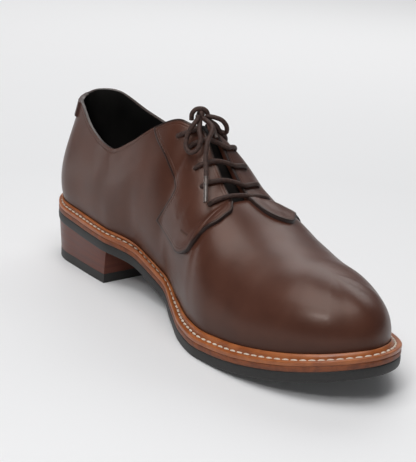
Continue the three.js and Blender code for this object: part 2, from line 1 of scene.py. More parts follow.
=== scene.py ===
# A plain toe derby, the left shoe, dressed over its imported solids.
# The shapes are worked out in millimetres from the back of the heel (x = 0) and the centre line (y = 0).
# place() puts them in the row's frame: metres, toe toward +X, outer side toward +Y, standing on z = 0.
import math
import bmesh
import bpy
from bisect import bisect_left
from functools import lru_cache
from mathutils import Matrix, Quaternion, Vector
from mathutils.kdtree import KDTree


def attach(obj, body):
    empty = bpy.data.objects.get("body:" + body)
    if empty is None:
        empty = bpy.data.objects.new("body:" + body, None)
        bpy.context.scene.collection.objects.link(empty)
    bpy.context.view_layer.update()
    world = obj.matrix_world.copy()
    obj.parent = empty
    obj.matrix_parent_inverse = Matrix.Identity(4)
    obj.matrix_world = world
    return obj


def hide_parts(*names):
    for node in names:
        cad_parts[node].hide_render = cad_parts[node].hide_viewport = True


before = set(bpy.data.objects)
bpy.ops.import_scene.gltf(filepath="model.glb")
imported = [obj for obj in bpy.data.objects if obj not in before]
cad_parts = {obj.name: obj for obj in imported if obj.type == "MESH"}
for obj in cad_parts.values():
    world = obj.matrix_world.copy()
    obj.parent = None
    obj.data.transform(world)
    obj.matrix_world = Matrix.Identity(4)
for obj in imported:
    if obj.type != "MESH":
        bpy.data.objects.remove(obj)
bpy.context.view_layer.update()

mm = 0.001
medial, lateral = -1, 1

sole = {
    "length": 300, "width": 110,
    "outsole": 5.5, "midsole": 2.9, "joint": 0.3,  # thicknesses, and the gap between two layers
    "seatHeight": 28, "breastHeight": 22, "breastAt": 85,
    "treadStart": 176, "treadEnd": 198, "toeSpring": 16.5, "toeSpringPower": 1.8,
    "heelMargin": 5, "toeMargin": 7,
}
last = {"instep": 95, "wall": 2, "throatTop": 0.48, "throatBottom": 0.6, "ridge": 0.63}

# The sole's edge, in shares of its length and width.
outline = [
    ("along", "medial", "lateral"),
    (0, 0, 0), (0.035, 0.201, 0.205), (0.09, 0.282, 0.299), (0.16, 0.3, 0.322), (0.27, 0.312, 0.323),
    (0.37, 0.246, 0.327), (0.45, 0.248, 0.363), (0.53, 0.331, 0.43), (0.61, 0.436, 0.492), (0.69, 0.488, 0.501),
    (0.76, 0.484, 0.455), (0.83, 0.452, 0.384), (0.89, 0.397, 0.305), (0.94, 0.315, 0.215),
    (0.975, 0.219, 0.123), (1, 0.067, -0.067),
]

# The ribs of the last, from heel to toe: where each leaves the sole, where it ends, and how it bends on the way.
ribRows = [
    ("foot", "along", "medial", "lateral", "up", "upOuter", "crown", "crownOuter", "fan", "lean", "leanOuter",
     "rise", "roll", "rollOuter"),
    (0, 0.025, 0, 0, 0.747, 0.747, 82, 82, -90, 26, 26, 0.36, 0.36, 0.36),
    (0.027, 0.037, 0.059, 0.073, 0.729, 0.78, 80, 80, -60, 25, 25, 0.36, 0.36, 0.36),
    (0.09, 0.073, 0.125, 0.141, 0.72, 0.79, 78, 78, -30, 22, 22, 0.36, 0.36, 0.36),
    (0.17, 0.157, 0.196, 0.218, 0.624, 0.7, 76, 74, -8, 18, 16, 0.36, 0.36, 0.36),
    (0.27, 0.253, 0.231, 0.245, 0.578, 0.656, 74, 72, 0, 22, 16, 0.38, 0.36, 0.36),
    (0.33, 0.32, 0.224, 0.227, 0.689, 0.695, 72, 66, 0, 27, 16, 0.38, 0.36, 0.36),
    (0.39, 0.385, 0.182, 0.155, 0.881, 0.85, 66, 54, 0, 31, 16, 0.38, 0.36, 0.36),
    (0.445, 0.453, 0.127, 0.032, 1.027, 0.995, 60, 38, 0, 30, 16, 0.39, 0.34, 0.37),
    (0.48, 0.487, 0.085, -0.015, 1.025, 1, 54, 34, 0, 27, 16, 0.4, 0.34, 0.39),
    (0.54, 0.543, 0.095, -0.006, 0.878, 0.856, 35, 25, 0, 20, 14, 0.43, 0.36, 0.42),
    (0.6, 0.598, 0.103, 0.005, 0.708, 0.705, 9, 7, 0, 14, 12, 0.46, 0.41, 0.45),
    (0.63, 0.602, 0.049, -0.049, 0.713, 0.713, 0, 0, 0, 13, 12, 0.45, 0.4, 0.42),
    (0.69, 0.68, 0.049, -0.049, 0.604, 0.604, 0, 0, 0, 12, 12, 0.45, 0.43, 0.43),
    (0.77, 0.755, 0.049, -0.049, 0.525, 0.525, 0, 0, 6, 12, 12, 0.44, 0.44, 0.44),
    (0.86, 0.815, 0.05, -0.05, 0.48, 0.48, 0, 0, 17, 12, 12, 0.46, 0.46, 0.46),
    (0.94, 0.85, 0.055, -0.055, 0.445, 0.445, 0, 0, 42, 12, 12, 0.46, 0.47, 0.47),
    (0.975, 0.861, 0.058, -0.058, 0.432, 0.432, 0, 0, 65, 12, 12, 0.46, 0.48, 0.48),
    (1, 0.865, 0.06, -0.06, 0.427, 0.427, 0, 0, 90, 12, 12, 0.46, 0.48, 0.48),
]


def smoothShare(value):
    s = min(max(value, 0), 1)
    return s * s * (3 - 2 * s)


def turnAt(share):  # places along the sole lie close together at both round ends
    return math.acos(1 - 2 * min(max(share, 0), 1)) / math.pi


def hermite(y0, slope0, y1, slope1, width, s):
    s2, s3 = s * s, s * s * s
    return (y0 * (2 * s3 - 3 * s2 + 1) + slope0 * width * (s3 - 2 * s2 + s)
            + y1 * (3 * s2 - 2 * s3) + slope1 * width * (s3 - s2))


def curveThrough(rows, placeName, name):  # a smooth curve over the turn that doesn't overshoot between rows
    names, *values = rows
    xs = [turnAt(row[names.index(placeName)]) for row in values]
    ys = [row[names.index(name)] for row in values]
    rates = [(ys[i + 1] - ys[i]) / (xs[i + 1] - xs[i]) for i in range(len(xs) - 1)]
    slopes = [rates[0]]
    for i in range(1, len(xs) - 1):
        before, after = rates[i - 1], rates[i]
        back, ahead = xs[i] - xs[i - 1], xs[i + 1] - xs[i]
        mean = (before * ahead + after * back) / (back + ahead)
        limit = 3 * min(abs(before), abs(after))
        slopes.append(0 if before * after <= 0 else math.copysign(min(abs(mean), limit), mean))
    slopes.append(rates[-1])

    def at(turn):
        i = 0
        while i < len(xs) - 2 and turn > xs[i + 1]:
            i += 1
        width = xs[i + 1] - xs[i]
        return hermite(ys[i], slopes[i], ys[i + 1], slopes[i + 1], width, min(max((turn - xs[i]) / width, 0), 1))
    return at


edgeCurve = {medial: curveThrough(outline, "along", "medial"), lateral: curveThrough(outline, "along", "lateral")}
rib = {name: curveThrough(ribRows, "foot", name) for name in ribRows[0]}
ridgeTurn = turnAt(last["ridge"])


def edgePoint(side, turn):
    along = (1 - math.cos(math.pi * turn)) / 2
    return Vector((sole["length"] * along, side * sole["width"] * edgeCurve[side](turn), 0))


@lru_cache(maxsize=None)
def outwardAt(side, turn):
    if turn < 1e-6:
        return Vector((-1, 0, 0))
    if turn > 1 - 1e-6:
        return Vector((1, 0, 0))
    run = edgePoint(side, min(turn + 0.004, 1)) - edgePoint(side, max(turn - 0.004, 0))
    return Vector((-side * run.y, side * run.x, 0)).normalized()


def insetPoint(side, turn, inset):
    return edgePoint(side, turn) - outwardAt(side, turn) * inset


def underside(x):
    slope = (sole["breastHeight"] - sole["seatHeight"]) / sole["breastAt"]
    if x < sole["breastAt"]:
        return sole["seatHeight"] + slope * max(x, 0)
    if x < sole["treadStart"]:
        width = sole["treadStart"] - sole["breastAt"]
        return hermite(sole["breastHeight"], slope, 0, 0, width, (x - sole["breastAt"]) / width)
    if x < sole["treadEnd"]:
        return 0
    share = (x - sole["treadEnd"]) / (sole["length"] - sole["treadEnd"])
    return sole["toeSpring"] * share ** sole["toeSpringPower"]


def midsoleBottom(x):
    return underside(x) + sole["outsole"] + sole["joint"]


def featherHeight(x):
    return midsoleBottom(x) + sole["midsole"] + sole["joint"]


def margin(turn):
    return sole["heelMargin"] + (sole["toeMargin"] - sole["heelMargin"]) * smoothShare((turn - 0.35) / 0.4)


def topPoint(side, turn):
    x = sole["length"] * rib["along"](turn)
    across = rib["medial" if side == medial else "lateral"](turn)
    up = rib["up" if side == medial else "upOuter"](turn)
    return Vector((x, side * sole["width"] * across, featherHeight(x) + last["instep"] * up))


def ridgeFall(turn):
    behind = topPoint(lateral, max(turn - 0.012, ridgeTurn))
    here = topPoint(lateral, max(turn - 0.006, ridgeTurn + 0.006))
    return (behind.z - here.z) / (here.x - behind.x)


@lru_cache(maxsize=None)
def ribPoints(side, turn):
    foot = insetPoint(side, turn, margin(turn))
    foot.z = featherHeight(foot.x)
    top = topPoint(side, turn)
    out = outwardAt(side, turn)
    length = (top - foot).length
    suffix = "" if side == medial else "Outer"
    lean = math.radians(rib["lean" + suffix](turn))
    crown = math.radians(rib["crown" + suffix](turn))
    fan = math.radians(rib["fan"](turn))
    start = Vector((out.x * math.sin(lean), out.y * math.sin(lean), math.cos(lean)))
    end = Vector((math.sin(fan) * math.cos(crown), side * math.cos(fan) * math.cos(crown), -math.sin(crown)))
    if turn >= ridgeTurn:
        end.z -= math.sin(fan) * ridgeFall(turn)
    end.normalize()
    return foot, foot + start * rib["rise"](turn) * length, top + end * rib["roll" + suffix](turn) * length, top


def skin(side, turn, up):  # a point of the upper's face: up is 0 at the sole, 1 at its top edge or ridge
    a, b, c, d = ribPoints(side, min(max(turn, 0), 1))
    s = min(max(up, 0), 1)
    t = 1 - s
    return a * t ** 3 + b * 3 * t * t * s + c * 3 * t * s * s + d * s ** 3


def skinNormal(side, turn, up):
    turn = round(turn, 5)
    along = skin(side, turn + 0.003, up) - skin(side, turn - 0.003, up)
    rise = skin(side, turn, up + 0.01) - skin(side, turn, up - 0.01)
    normal = along.cross(rise).normalized() * -side
    if turn < 1e-6 or turn > 1 - 1e-6:
        normal.y = 0
        normal.normalize()
    return normal


def offSkin(side, turn, up, distance):
    turn = round(turn, 5)
    return skin(side, turn, up) + skinNormal(side, turn, up) * distance


reachMedial = min(edgePoint(medial, k / 200).y for k in range(201))
reachLateral = max(edgePoint(lateral, k / 200).y for k in range(201))
shift = Vector((-sole["length"] / 2, -(reachMedial + reachLateral) / 2, 0))


def place(point):
    return (Vector(point) + shift) * mm


# Making of pieces

def mappedGrid(bm, columns, rows, pointAt):  # a grid whose vertices go where pointAt(column, row) says
    made = bmesh.ops.create_grid(bm, x_segments=columns, y_segments=rows, size=1)["verts"]
    for vert in made:
        column = round((vert.co.x + 1) / 2 * columns)
        row = round((vert.co.y + 1) / 2 * rows)
        vert.co = place(pointAt(column, row))
    return made


def ridePiece(piece, replaced):
    bpy.context.scene.collection.objects.link(piece)
    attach(piece, "root")
    if replaced:
        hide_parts(*replaced)
    return piece


def addPiece(bm, name, materials, replaced=(), sharpAngle=40):
    mesh = bpy.data.meshes.new(name)
    for face in bm.faces:
        face.smooth = True
    bm.to_mesh(mesh)
    bm.free()
    mesh.set_sharp_from_angle(angle=math.radians(sharpAngle))
    for material in materials:
        mesh.materials.append(material)
    return ridePiece(bpy.data.objects.new(name, mesh), replaced)


def addModifier(piece, name, kind, **values):
    modifier = piece.modifiers.new(name, kind)
    for label, value in values.items():
        setattr(modifier, label, value)


def closeUp(bm, distance=1e-5):
    bmesh.ops.remove_doubles(bm, verts=bm.verts, dist=distance)
    bmesh.ops.dissolve_degenerate(bm, edges=bm.edges, dist=1e-7)
    bmesh.ops.recalc_face_normals(bm, faces=bm.faces)


def faceToward(bm, aim):  # turns all faces over where, taken together, they look away from aim
    if sum(face.normal.dot(Vector(aim)) for face in bm.faces) < 0:
        bmesh.ops.reverse_faces(bm, faces=bm.faces)


# Materials

def addNode(nodes, links, kind, inputs=None, **settings):  # an input is a value or another node's output
    node = nodes.new("ShaderNode" + kind)
    for label, value in settings.items():
        setattr(node, label, value)
    for label, value in (inputs or {}).items():
        if isinstance(value, bpy.types.NodeSocket):
            links.new(value, node.inputs[label])
        else:
            node.inputs[label].default_value = value
    return node


def newGroup(name, inputs, outputs):
    group = bpy.data.node_groups.new(name, "ShaderNodeTree")
    for label, value in inputs.items():
        socket = group.interface.new_socket(name=label, in_out="INPUT", socket_type="NodeSocketFloat")
        socket.default_value = value
    for label in outputs:
        group.interface.new_socket(name=label, in_out="OUTPUT", socket_type="NodeSocketFloat")
    return group, group.nodes.new("NodeGroupInput"), group.nodes.new("NodeGroupOutput")


def buildGrain():  # fine pores and a soft unevenness, as a height, with a slow mottle as a mask
    group, given, result = newGroup("leatherGrain", {"Pore size": 1500, "Unevenness": 60}, ["Height", "Mottle"])
    nodes, links = group.nodes, group.links
    coords = addNode(nodes, links, "TexCoord").outputs["Object"]
    pores = addNode(nodes, links, "TexVoronoi", {"Vector": coords, "Scale": given.outputs["Pore size"]},
                    feature="DISTANCE_TO_EDGE")
    depth = addNode(nodes, links, "MapRange", {"Value": pores.outputs["Distance"], "From Max": 0.12})
    swell = addNode(nodes, links, "TexNoise", {"Vector": coords, "Scale": given.outputs["Unevenness"], "Detail": 3})
    mixed = addNode(nodes, links, "Math", {0: depth.outputs["Result"], 1: 0.25, 2: swell.outputs["Fac"]},
                    operation="MULTIPLY_ADD")
    links.new(mixed.outputs["Value"], result.inputs["Height"])
    links.new(swell.outputs["Fac"], result.inputs["Mottle"])
    return group


def buildSeamDents():  # leather pulled in along its rows of stitches: a height from the distance to the piece's edge
    group, given, result = newGroup("seamDents", {"First row": 1.6, "Second row": 3.1}, ["Height"])
    nodes, links = group.nodes, group.links
    distance = addNode(nodes, links, "Attribute", attribute_name="fromEdge").outputs["Fac"]
    heights = {}
    for number, label in enumerate(("First row", "Second row")):
        away = addNode(nodes, links, "Math", {0: distance, 1: given.outputs[label]}, operation="SUBTRACT")
        size = addNode(nodes, links, "Math", {0: away.outputs["Value"]}, operation="ABSOLUTE")
        rise = addNode(nodes, links, "MapRange", {"Value": size.outputs["Value"], "From Max": 0.65},
                       interpolation_type="SMOOTHSTEP")
        heights[number] = rise.outputs["Result"]
    both = addNode(nodes, links, "Math", heights, operation="MULTIPLY")
    links.new(both.outputs["Value"], result.inputs["Height"])
    return group


leatherGrain = buildGrain()
seamDents = buildSeamDents()


def addBump(nodes, links, height, strength, distance, shader):
    bump = addNode(nodes, links, "Bump", {"Strength": strength, "Distance": distance, "Height": height})
    links.new(bump.outputs["Normal"], shader.inputs["Normal"])


def startMaterial(name, look):
    material = bpy.data.materials.new(name)
    material.use_nodes = True
    nodes, links = material.node_tree.nodes, material.node_tree.links
    shader = nodes["Principled BSDF"]
    shader.inputs["Specular IOR Level"].default_value = look.get("specular", 0.5)
    shader.inputs["Specular Tint"].default_value = (*look.get("sheenTint", (1, 1, 1)), 1)
    shader.inputs["Coat Weight"].default_value = look.get("coat", 0)
    shader.inputs["Coat Roughness"].default_value = look.get("coatRoughness", 0.2)
    return material, nodes, links, shader


def mixColours(nodes, links, factor, first, second):
    mix = nodes.new("ShaderNodeMix")
    mix.data_type = "RGBA"
    links.new(factor, mix.inputs["Factor"])
    for colour, socket in ((first, mix.inputs["A"]), (second, mix.inputs["B"])):
        if isinstance(colour, tuple):
            socket.default_value = (*colour, 1)
        else:
            links.new(colour, socket)
    return mix.outputs["Result"]


def mapRange(nodes, links, value, low, high, toLow, toHigh):
    return addNode(nodes, links, "MapRange", {"Value": value, "From Min": low, "From Max": high, "To Min": toLow,
                                              "To Max": toHigh}).outputs["Result"]


def grainedMaterial(name, look):
    material, nodes, links, shader = startMaterial(name, look)
    grain = addNode(nodes, links, "Group", {"Pore size": look["poreSize"], "Unevenness": look["unevenness"]},
                    node_tree=leatherGrain)
    mottle = grain.outputs["Mottle"]
    colour = mixColours(nodes, links, mapRange(nodes, links, mottle, 0.35, 0.65, 0, 1), look["dark"], look["light"])
    if "nearSoleTone" in look:  # darker toward the sole
        rise = addNode(nodes, links, "Attribute", attribute_name="rise").outputs["Fac"]
        colour = mixColours(nodes, links, mapRange(nodes, links, rise, 0, 0.2, 1, 0), colour, look["nearSoleTone"])
    if "edge" in look:  # the cut edge and the leather just inside it are darker: partly a dark edge stain, partly painted shadow for the dark line along the facings' edges
        distance = addNode(nodes, links, "Attribute", attribute_name="fromEdge").outputs["Fac"]
        dyed = mapRange(nodes, links, distance, look["edgeWidth"] / 2, look["edgeWidth"], 1, 0)
        colour = mixColours(nodes, links, dyed, colour, look["edge"])
    links.new(colour, shader.inputs["Base Color"])
    links.new(mapRange(nodes, links, mottle, 0.3, 0.7, look["roughLow"], look["roughHigh"]), shader.inputs["Roughness"])
    height = grain.outputs["Height"]
    if "seamRows" in look:
        dents = addNode(nodes, links, "Group", dict(zip(("First row", "Second row"), look["seamRows"])),
                        node_tree=seamDents)
        height = addNode(nodes, links, "Math", {0: dents.outputs["Height"], 1: look["seamDepth"] / look["depth"],
                                                2: height}, operation="MULTIPLY_ADD").outputs["Value"]
    addBump(nodes, links, height, look["bump"], look["depth"] * mm, shader)
    return material


smoothBrown = {
    "dark": (0.064, 0.0215, 0.0128), "light": (0.084, 0.0295, 0.018), "nearSoleTone": (0.035, 0.0095, 0.005),
    # the dark edge colour: edge stain, and painted shadow where the facings' edges stand proud
    "edge": (0.012, 0.004, 0.003),
    "roughLow": 0.33, "roughHigh": 0.41, "coat": 0.12, "coatRoughness": 0.22, "specular": 0.4,
    "sheenTint": (1, 0.8, 0.7), "poreSize": 1400, "unevenness": 45, "bump": 0.3, "depth": 0.12, "seamDepth": 0.35}
upperLeather = grainedMaterial("upperLeather", {**smoothBrown, "seamRows": (2.4, 2.4), "edgeWidth": 0.2})
# on the facings the dark edge band is 1.8 mm wide: painted shadow along their edges over a dark edge stain
facingLeather = grainedMaterial("facingLeather", {**smoothBrown, "seamRows": (1.7, 3.3), "edgeWidth": 1.8})
# the facings' cut edges: dark edge stain and painted shadow under the raised edge
edgeStainAndShade = grainedMaterial("edgeStainAndShade", {
    "dark": (0.02, 0.008, 0.006), "light": (0.03, 0.012, 0.008),
    "roughLow": 0.5, "roughHigh": 0.6, "poreSize": 1400, "unevenness": 80, "bump": 0.3, "depth": 0.1})
tabLeather = grainedMaterial("tabLeather", {
    "dark": (0.036, 0.012, 0.009), "light": (0.05, 0.018, 0.012), "specular": 0.36,
    "roughLow": 0.42, "roughHigh": 0.5, "poreSize": 1400, "unevenness": 80, "bump": 0.3, "depth": 0.1})
# painted shade: the tongue's dark brown leather is coloured near black for the shade it lies in down the throat
tongueShadedLeather = grainedMaterial("tongueShadedLeather", {
    "dark": (0.006, 0.0045, 0.004), "light": (0.01, 0.007, 0.006), "specular": 0.2,
    "roughLow": 0.6, "roughHigh": 0.7, "poreSize": 1400, "unevenness": 60, "bump": 0.3, "depth": 0.1})
liningLeather = grainedMaterial("liningLeather", {
    "dark": (0.006, 0.005, 0.005), "light": (0.009, 0.008, 0.007), "specular": 0.3,
    "roughLow": 0.6, "roughHigh": 0.75, "poreSize": 1100, "unevenness": 70, "bump": 0.3, "depth": 0.12})
weltLeather = grainedMaterial("weltLeather", {
    "dark": (0.28, 0.07, 0.013), "light": (0.42, 0.125, 0.028), "coat": 0.3, "coatRoughness": 0.25,
    "roughLow": 0.36, "roughHigh": 0.48, "poreSize": 1600, "unevenness": 110, "bump": 0.3, "depth": 0.12})
midsoleLeather = grainedMaterial("midsoleLeather", {
    "dark": (0.14, 0.034, 0.01), "light": (0.25, 0.068, 0.02),
    "roughLow": 0.45, "roughHigh": 0.6, "poreSize": 900, "unevenness": 260, "bump": 0.5, "depth": 0.16})
sewingThread = grainedMaterial("sewingThread", {
    "dark": (0.6, 0.52, 0.42), "light": (0.75, 0.68, 0.58),
    "roughLow": 0.7, "roughHigh": 0.8, "poreSize": 3000, "unevenness": 900, "bump": 0.4, "depth": 0.1})
brownThread = grainedMaterial("brownThread", {
    "dark": (0.06, 0.026, 0.018), "light": (0.1, 0.05, 0.036),
    "roughLow": 0.6, "roughHigh": 0.7, "poreSize": 3000, "unevenness": 900, "bump": 0.4, "depth": 0.1})
laceCord = grainedMaterial("laceCord", {
    "dark": (0.032, 0.0145, 0.0105), "light": (0.068, 0.035, 0.027), "specular": 0.35,
    "roughLow": 0.5, "roughHigh": 0.7, "poreSize": 1300, "unevenness": 700, "bump": 0.8, "depth": 0.25})


def layeredMaterial(name, look):  # a stack of lifts: level joint lines over fine level fibres
    material, nodes, links, shader = startMaterial(name, look)
    coords = addNode(nodes, links, "TexCoord").outputs["Object"]
    split = addNode(nodes, links, "SeparateXYZ", {"Vector": coords})
    stretched = addNode(nodes, links, "Mapping", {"Vector": coords, "Scale": (25, 25, 420)})
    fibres = addNode(nodes, links, "TexNoise", {"Vector": stretched.outputs["Vector"], "Scale": 1, "Detail": 4})
    fibres = fibres.outputs["Fac"]
    colour = mixColours(nodes, links, mapRange(nodes, links, fibres, 0.35, 0.65, 0, 1), look["dark"], look["light"])
    wave = addNode(nodes, links, "Math", {0: split.outputs["Z"], 1: look["liftHeight"] * mm / 2}, operation="PINGPONG")
    line = mapRange(nodes, links, wave.outputs["Value"], 0, 0.12 * mm, 1, 0)
    links.new(mixColours(nodes, links, line, colour, look["joint"]), shader.inputs["Base Color"])
    links.new(mapRange(nodes, links, fibres, 0.3, 0.7, look["roughLow"], look["roughHigh"]), shader.inputs["Roughness"])
    addBump(nodes, links, fibres, 0.2, 0.15 * mm, shader)
    return material


heelStack = layeredMaterial("heelStack", {
    "dark": (0.095, 0.022, 0.0115), "light": (0.135, 0.034, 0.018), "joint": (0.06, 0.015, 0.009),
    "liftHeight": 5.2, "roughLow": 0.36, "roughHigh": 0.46, "coat": 0.1, "coatRoughness": 0.25, "specular": 0.35})


def rubberMaterial(name, look):  # near-black rubber, with a fine tread on the faces that look down
    material, nodes, links, shader = startMaterial(name, look)
    coords = addNode(nodes, links, "TexCoord").outputs["Object"]
    speckle = addNode(nodes, links, "TexNoise", {"Vector": coords, "Scale": 900, "Detail": 3}).outputs["Fac"]
    links.new(mixColours(nodes, links, mapRange(nodes, links, speckle, 0.3, 0.7, 0, 1), look["dark"], look["light"]),
              shader.inputs["Base Color"])
    links.new(mapRange(nodes, links, speckle, 0.3, 0.7, look["roughLow"], look["roughHigh"]),
              shader.inputs["Roughness"])
    turned = addNode(nodes, links, "Mapping", {"Vector": coords, "Rotation": (0, 0, math.radians(45))})
    studs = addNode(nodes, links, "TexVoronoi", {"Vector": turned.outputs["Vector"], "Scale": look["studsPerMetre"],
                                                 "Randomness": 0}, voronoi_dimensions="2D")
    domes = mapRange(nodes, links, studs.outputs["Distance"], 0.22, 0.34, 1, 0)
    geometry = addNode(nodes, links, "NewGeometry")
    facing = addNode(nodes, links, "SeparateXYZ", {"Vector": geometry.outputs["Normal"]})
    below = mapRange(nodes, links, facing.outputs["Z"], -0.8, -0.95, 0, 1)
    tread = addNode(nodes, links, "Math", {0: domes, 1: below}, operation="MULTIPLY")
    height = addNode(nodes, links, "Math", {0: speckle, 1: 0.06, 2: tread.outputs["Value"]}, operation="MULTIPLY_ADD")
    addBump(nodes, links, height.outputs["Value"], 1, 0.5 * mm, shader)
    return material


soleRubber = rubberMaterial("soleRubber", {
    "dark": (0.016, 0.0155, 0.015), "light": (0.028, 0.027, 0.026), "roughLow": 0.5, "roughHigh": 0.62,
    "specular": 0.5, "studsPerMetre": 170})


def agletMaterial():  # a clear sleeve over the lace's tip reads as a smooth grey-brown gloss
    material, nodes, links, shader = startMaterial("agletPlastic", {"coat": 1, "coatRoughness": 0.05})
    coords = addNode(nodes, links, "TexCoord").outputs["Object"]
    wrap = addNode(nodes, links, "TexNoise", {"Vector": coords, "Scale": 350}).outputs["Fac"]
    links.new(mixColours(nodes, links, mapRange(nodes, links, wrap, 0.35, 0.65, 0, 1),
                         (0.05, 0.034, 0.028), (0.12, 0.085, 0.07)), shader.inputs["Base Color"])
    shader.inputs["Roughness"].default_value = 0.22
    return material


agletPlastic = agletMaterial()
print("stage: materials")

# Upper

upper = {
    "openColumns": 110, "ridgeColumns": 80, "rows": 64, "rimRound": 0.55,
    "creases": [  # soft folds: side, foot, slant with the height, width, height range, depth in mm
        (medial, 0.262, 0.02, 0.03, 0.1, 0.85, -0.5), (medial, 0.335, 0.03, 0.026, 0.02, 0.8, 0.55),
        (medial, 0.405, 0.05, 0.025, 0.02, 0.42, -0.22), (lateral, 0.29, 0.02, 0.03, 0.1, 0.8, -0.35),
        (lateral, 0.36, 0.03, 0.03, 0.05, 0.7, 0.35),
        (medial, 0.7, -0.03, 0.016, 0.35, 1.2, -0.07), (medial, 0.74, -0.04, 0.018, 0.25, 1.2, -0.08),
        (lateral, 0.7, -0.03, 0.016, 0.35, 1.2, -0.07), (lateral, 0.74, -0.04, 0.018, 0.25, 1.2, -0.08)],
}


def creaseHeight(side, foot, up):
    total = 0
    for where, middle, slant, width, low, high, depth in upper["creases"]:
        if where == side:
            away = (foot - middle - slant * (up - 0.5)) / width
            fade = smoothShare((up - low) / 0.2) * smoothShare((high - up) / 0.2)
            total += depth * fade * math.exp(-away * away)
    return total


def makeUpper():
    bm = bmesh.new()
    riseLayer = bm.verts.layers.float.new("rise")
    edgeLayer = bm.verts.layers.float.new("fromEdge")
    columns = upper["openColumns"] + upper["ridgeColumns"]

    def turnOf(column):
        if column <= upper["openColumns"]:
            return ridgeTurn * column / upper["openColumns"]
        return ridgeTurn + (1 - ridgeTurn) * (column - upper["openColumns"]) / upper["ridgeColumns"]

    for side in (medial, lateral):
        for vert in bmesh.ops.create_grid(bm, x_segments=columns, y_segments=upper["rows"], size=1)["verts"]:
            turn = turnOf(round((vert.co.x + 1) / 2 * columns))
            up = round((vert.co.y + 1) / 2 * upper["rows"]) / upper["rows"]
            foot = (1 - math.cos(math.pi * turn)) / 2
            vert.co = place(offSkin(side, turn, up, creaseHeight(side, foot, up)))
            vert[riseLayer] = up
            reach = (topPoint(side, turn) - skin(side, turn, up)).length
            vert[edgeLayer] = reach if foot < 0.4 else 50
    closeUp(bm, 4e-5)
    piece = addPiece(bm, "upperShell", [upperLeather, liningLeather], ["upper"], 60)
    addModifier(piece, "wall", "SOLIDIFY", thickness=last["wall"] * mm, offset=-1, material_offset=1,
                use_even_offset=False)
    addModifier(piece, "rim", "BEVEL", width=upper["rimRound"] * mm, segments=3, limit_method="ANGLE",
                angle_limit=math.radians(55))
    return piece


makeUpper()
print("stage: upper")

# Facings

facing = {  # the outline of each facing, as (foot, up): its top edge, back, bottom and front
    medial: {
        "back": [(0.385, 1), (0.394, 0.944), (0.417, 0.831), (0.448, 0.726), (0.477, 0.66), (0.489, 0.637),
                 (0.488, 0.61), (0.486, 0.58), (0.468, 0.483), (0.45, 0.391)],
        "bottom": [(0.45, 0.391), (0.477, 0.372), (0.519, 0.378), (0.545, 0.384), (0.553, 0.389)],
        "front": [(0.591, 1), (0.615, 0.952), (0.637, 0.91), (0.649, 0.866), (0.65, 0.81), (0.648, 0.725),
                  (0.632, 0.615), (0.602, 0.505), (0.566, 0.41), (0.553, 0.389)]},
    lateral: {
        "back": [(0.385, 1), (0.394, 0.944), (0.417, 0.831), (0.448, 0.726), (0.477, 0.66), (0.489, 0.637),
                 (0.488, 0.61), (0.486, 0.58), (0.468, 0.483), (0.452, 0.385)],
        "bottom": [(0.452, 0.385), (0.49, 0.372), (0.535, 0.38), (0.562, 0.388), (0.573, 0.395)],
        "front": [(0.596, 1), (0.618, 0.972), (0.637, 0.96), (0.653, 0.95), (0.667, 0.92), (0.675, 0.869),
                  (0.677, 0.77), (0.655, 0.66), (0.615, 0.53), (0.58, 0.42), (0.573, 0.395)]},
    "columns": 84, "rows": 104, "thickness": 1.25, "edgeRound": 0.45, "proudHeight": 0.9, "proudWidth": 9,
    "edgeShares": [0, 0.002, 0.005, 0.01, 0.018, 0.03],
}
eyelets = {
    "radius": 1.6, "insideLevel": 0.12, "insideMargin": 0.25,
    "places": {
        medial: [(0.445, 0.9), (0.476, 0.85), (0.513, 0.84), (0.545, 0.84), (0.575, 0.84)],
        lateral: [(0.468, 0.88), (0.494, 0.865), (0.522, 0.845), (0.555, 0.83), (0.592, 0.845)],
    },
}


def eyeletPoint(side, number, distance=0):
    foot, up = eyelets["places"][side][number]
    return offSkin(side, turnAt(foot), up, distance)


def smoothPath(points, stepLength=0.8):  # a centripetal curve through the points
    points = [Vector(p) for p in points]
    points = [points[0] * 2 - points[1]] + points + [points[-1] * 2 - points[-2]]
    path = []
    for p0, p1, p2, p3 in zip(points, points[1:], points[2:], points[3:]):
        t0 = 0
        t1 = t0 + (p1 - p0).length ** 0.5
        t2 = t1 + (p2 - p1).length ** 0.5
        t3 = t2 + (p3 - p2).length ** 0.5
        count = max(round((p2 - p1).length / stepLength), 2)
        for k in range(count):
            t = t1 + (t2 - t1) * k / count
            a1 = p0 * ((t1 - t) / (t1 - t0)) + p1 * ((t - t0) / (t1 - t0))
            a2 = p1 * ((t2 - t) / (t2 - t1)) + p2 * ((t - t1) / (t2 - t1))
            a3 = p2 * ((t3 - t) / (t3 - t2)) + p3 * ((t - t2) / (t3 - t2))
            b1 = a1 * ((t2 - t) / (t2 - t0)) + a2 * ((t - t0) / (t2 - t0))
            b2 = a2 * ((t3 - t) / (t3 - t1)) + a3 * ((t - t1) / (t3 - t1))
            path.append(b1 * ((t2 - t) / (t2 - t1)) + b2 * ((t - t1) / (t2 - t1)))
    path.append(points[-2])
    return path


def outlineCurve(points, straight=False):  # a function from share to a flat point, even along the curve
    flat = [Vector((sole["length"] * foot, last["instep"] * up, 0)) for foot, up in points]
    path = flat if straight else smoothPath(flat, 0.5)
    runs = [0]
    for a, b in zip(path, path[1:]):
        runs.append(runs[-1] + (b - a).length)

    def at(share):
        wanted = share * runs[-1]
        i = min(max(bisect_left(runs, wanted), 1), len(runs) - 1)
        return path[i - 1].lerp(path[i], (wanted - runs[i - 1]) / (runs[i] - runs[i - 1]))
    return at


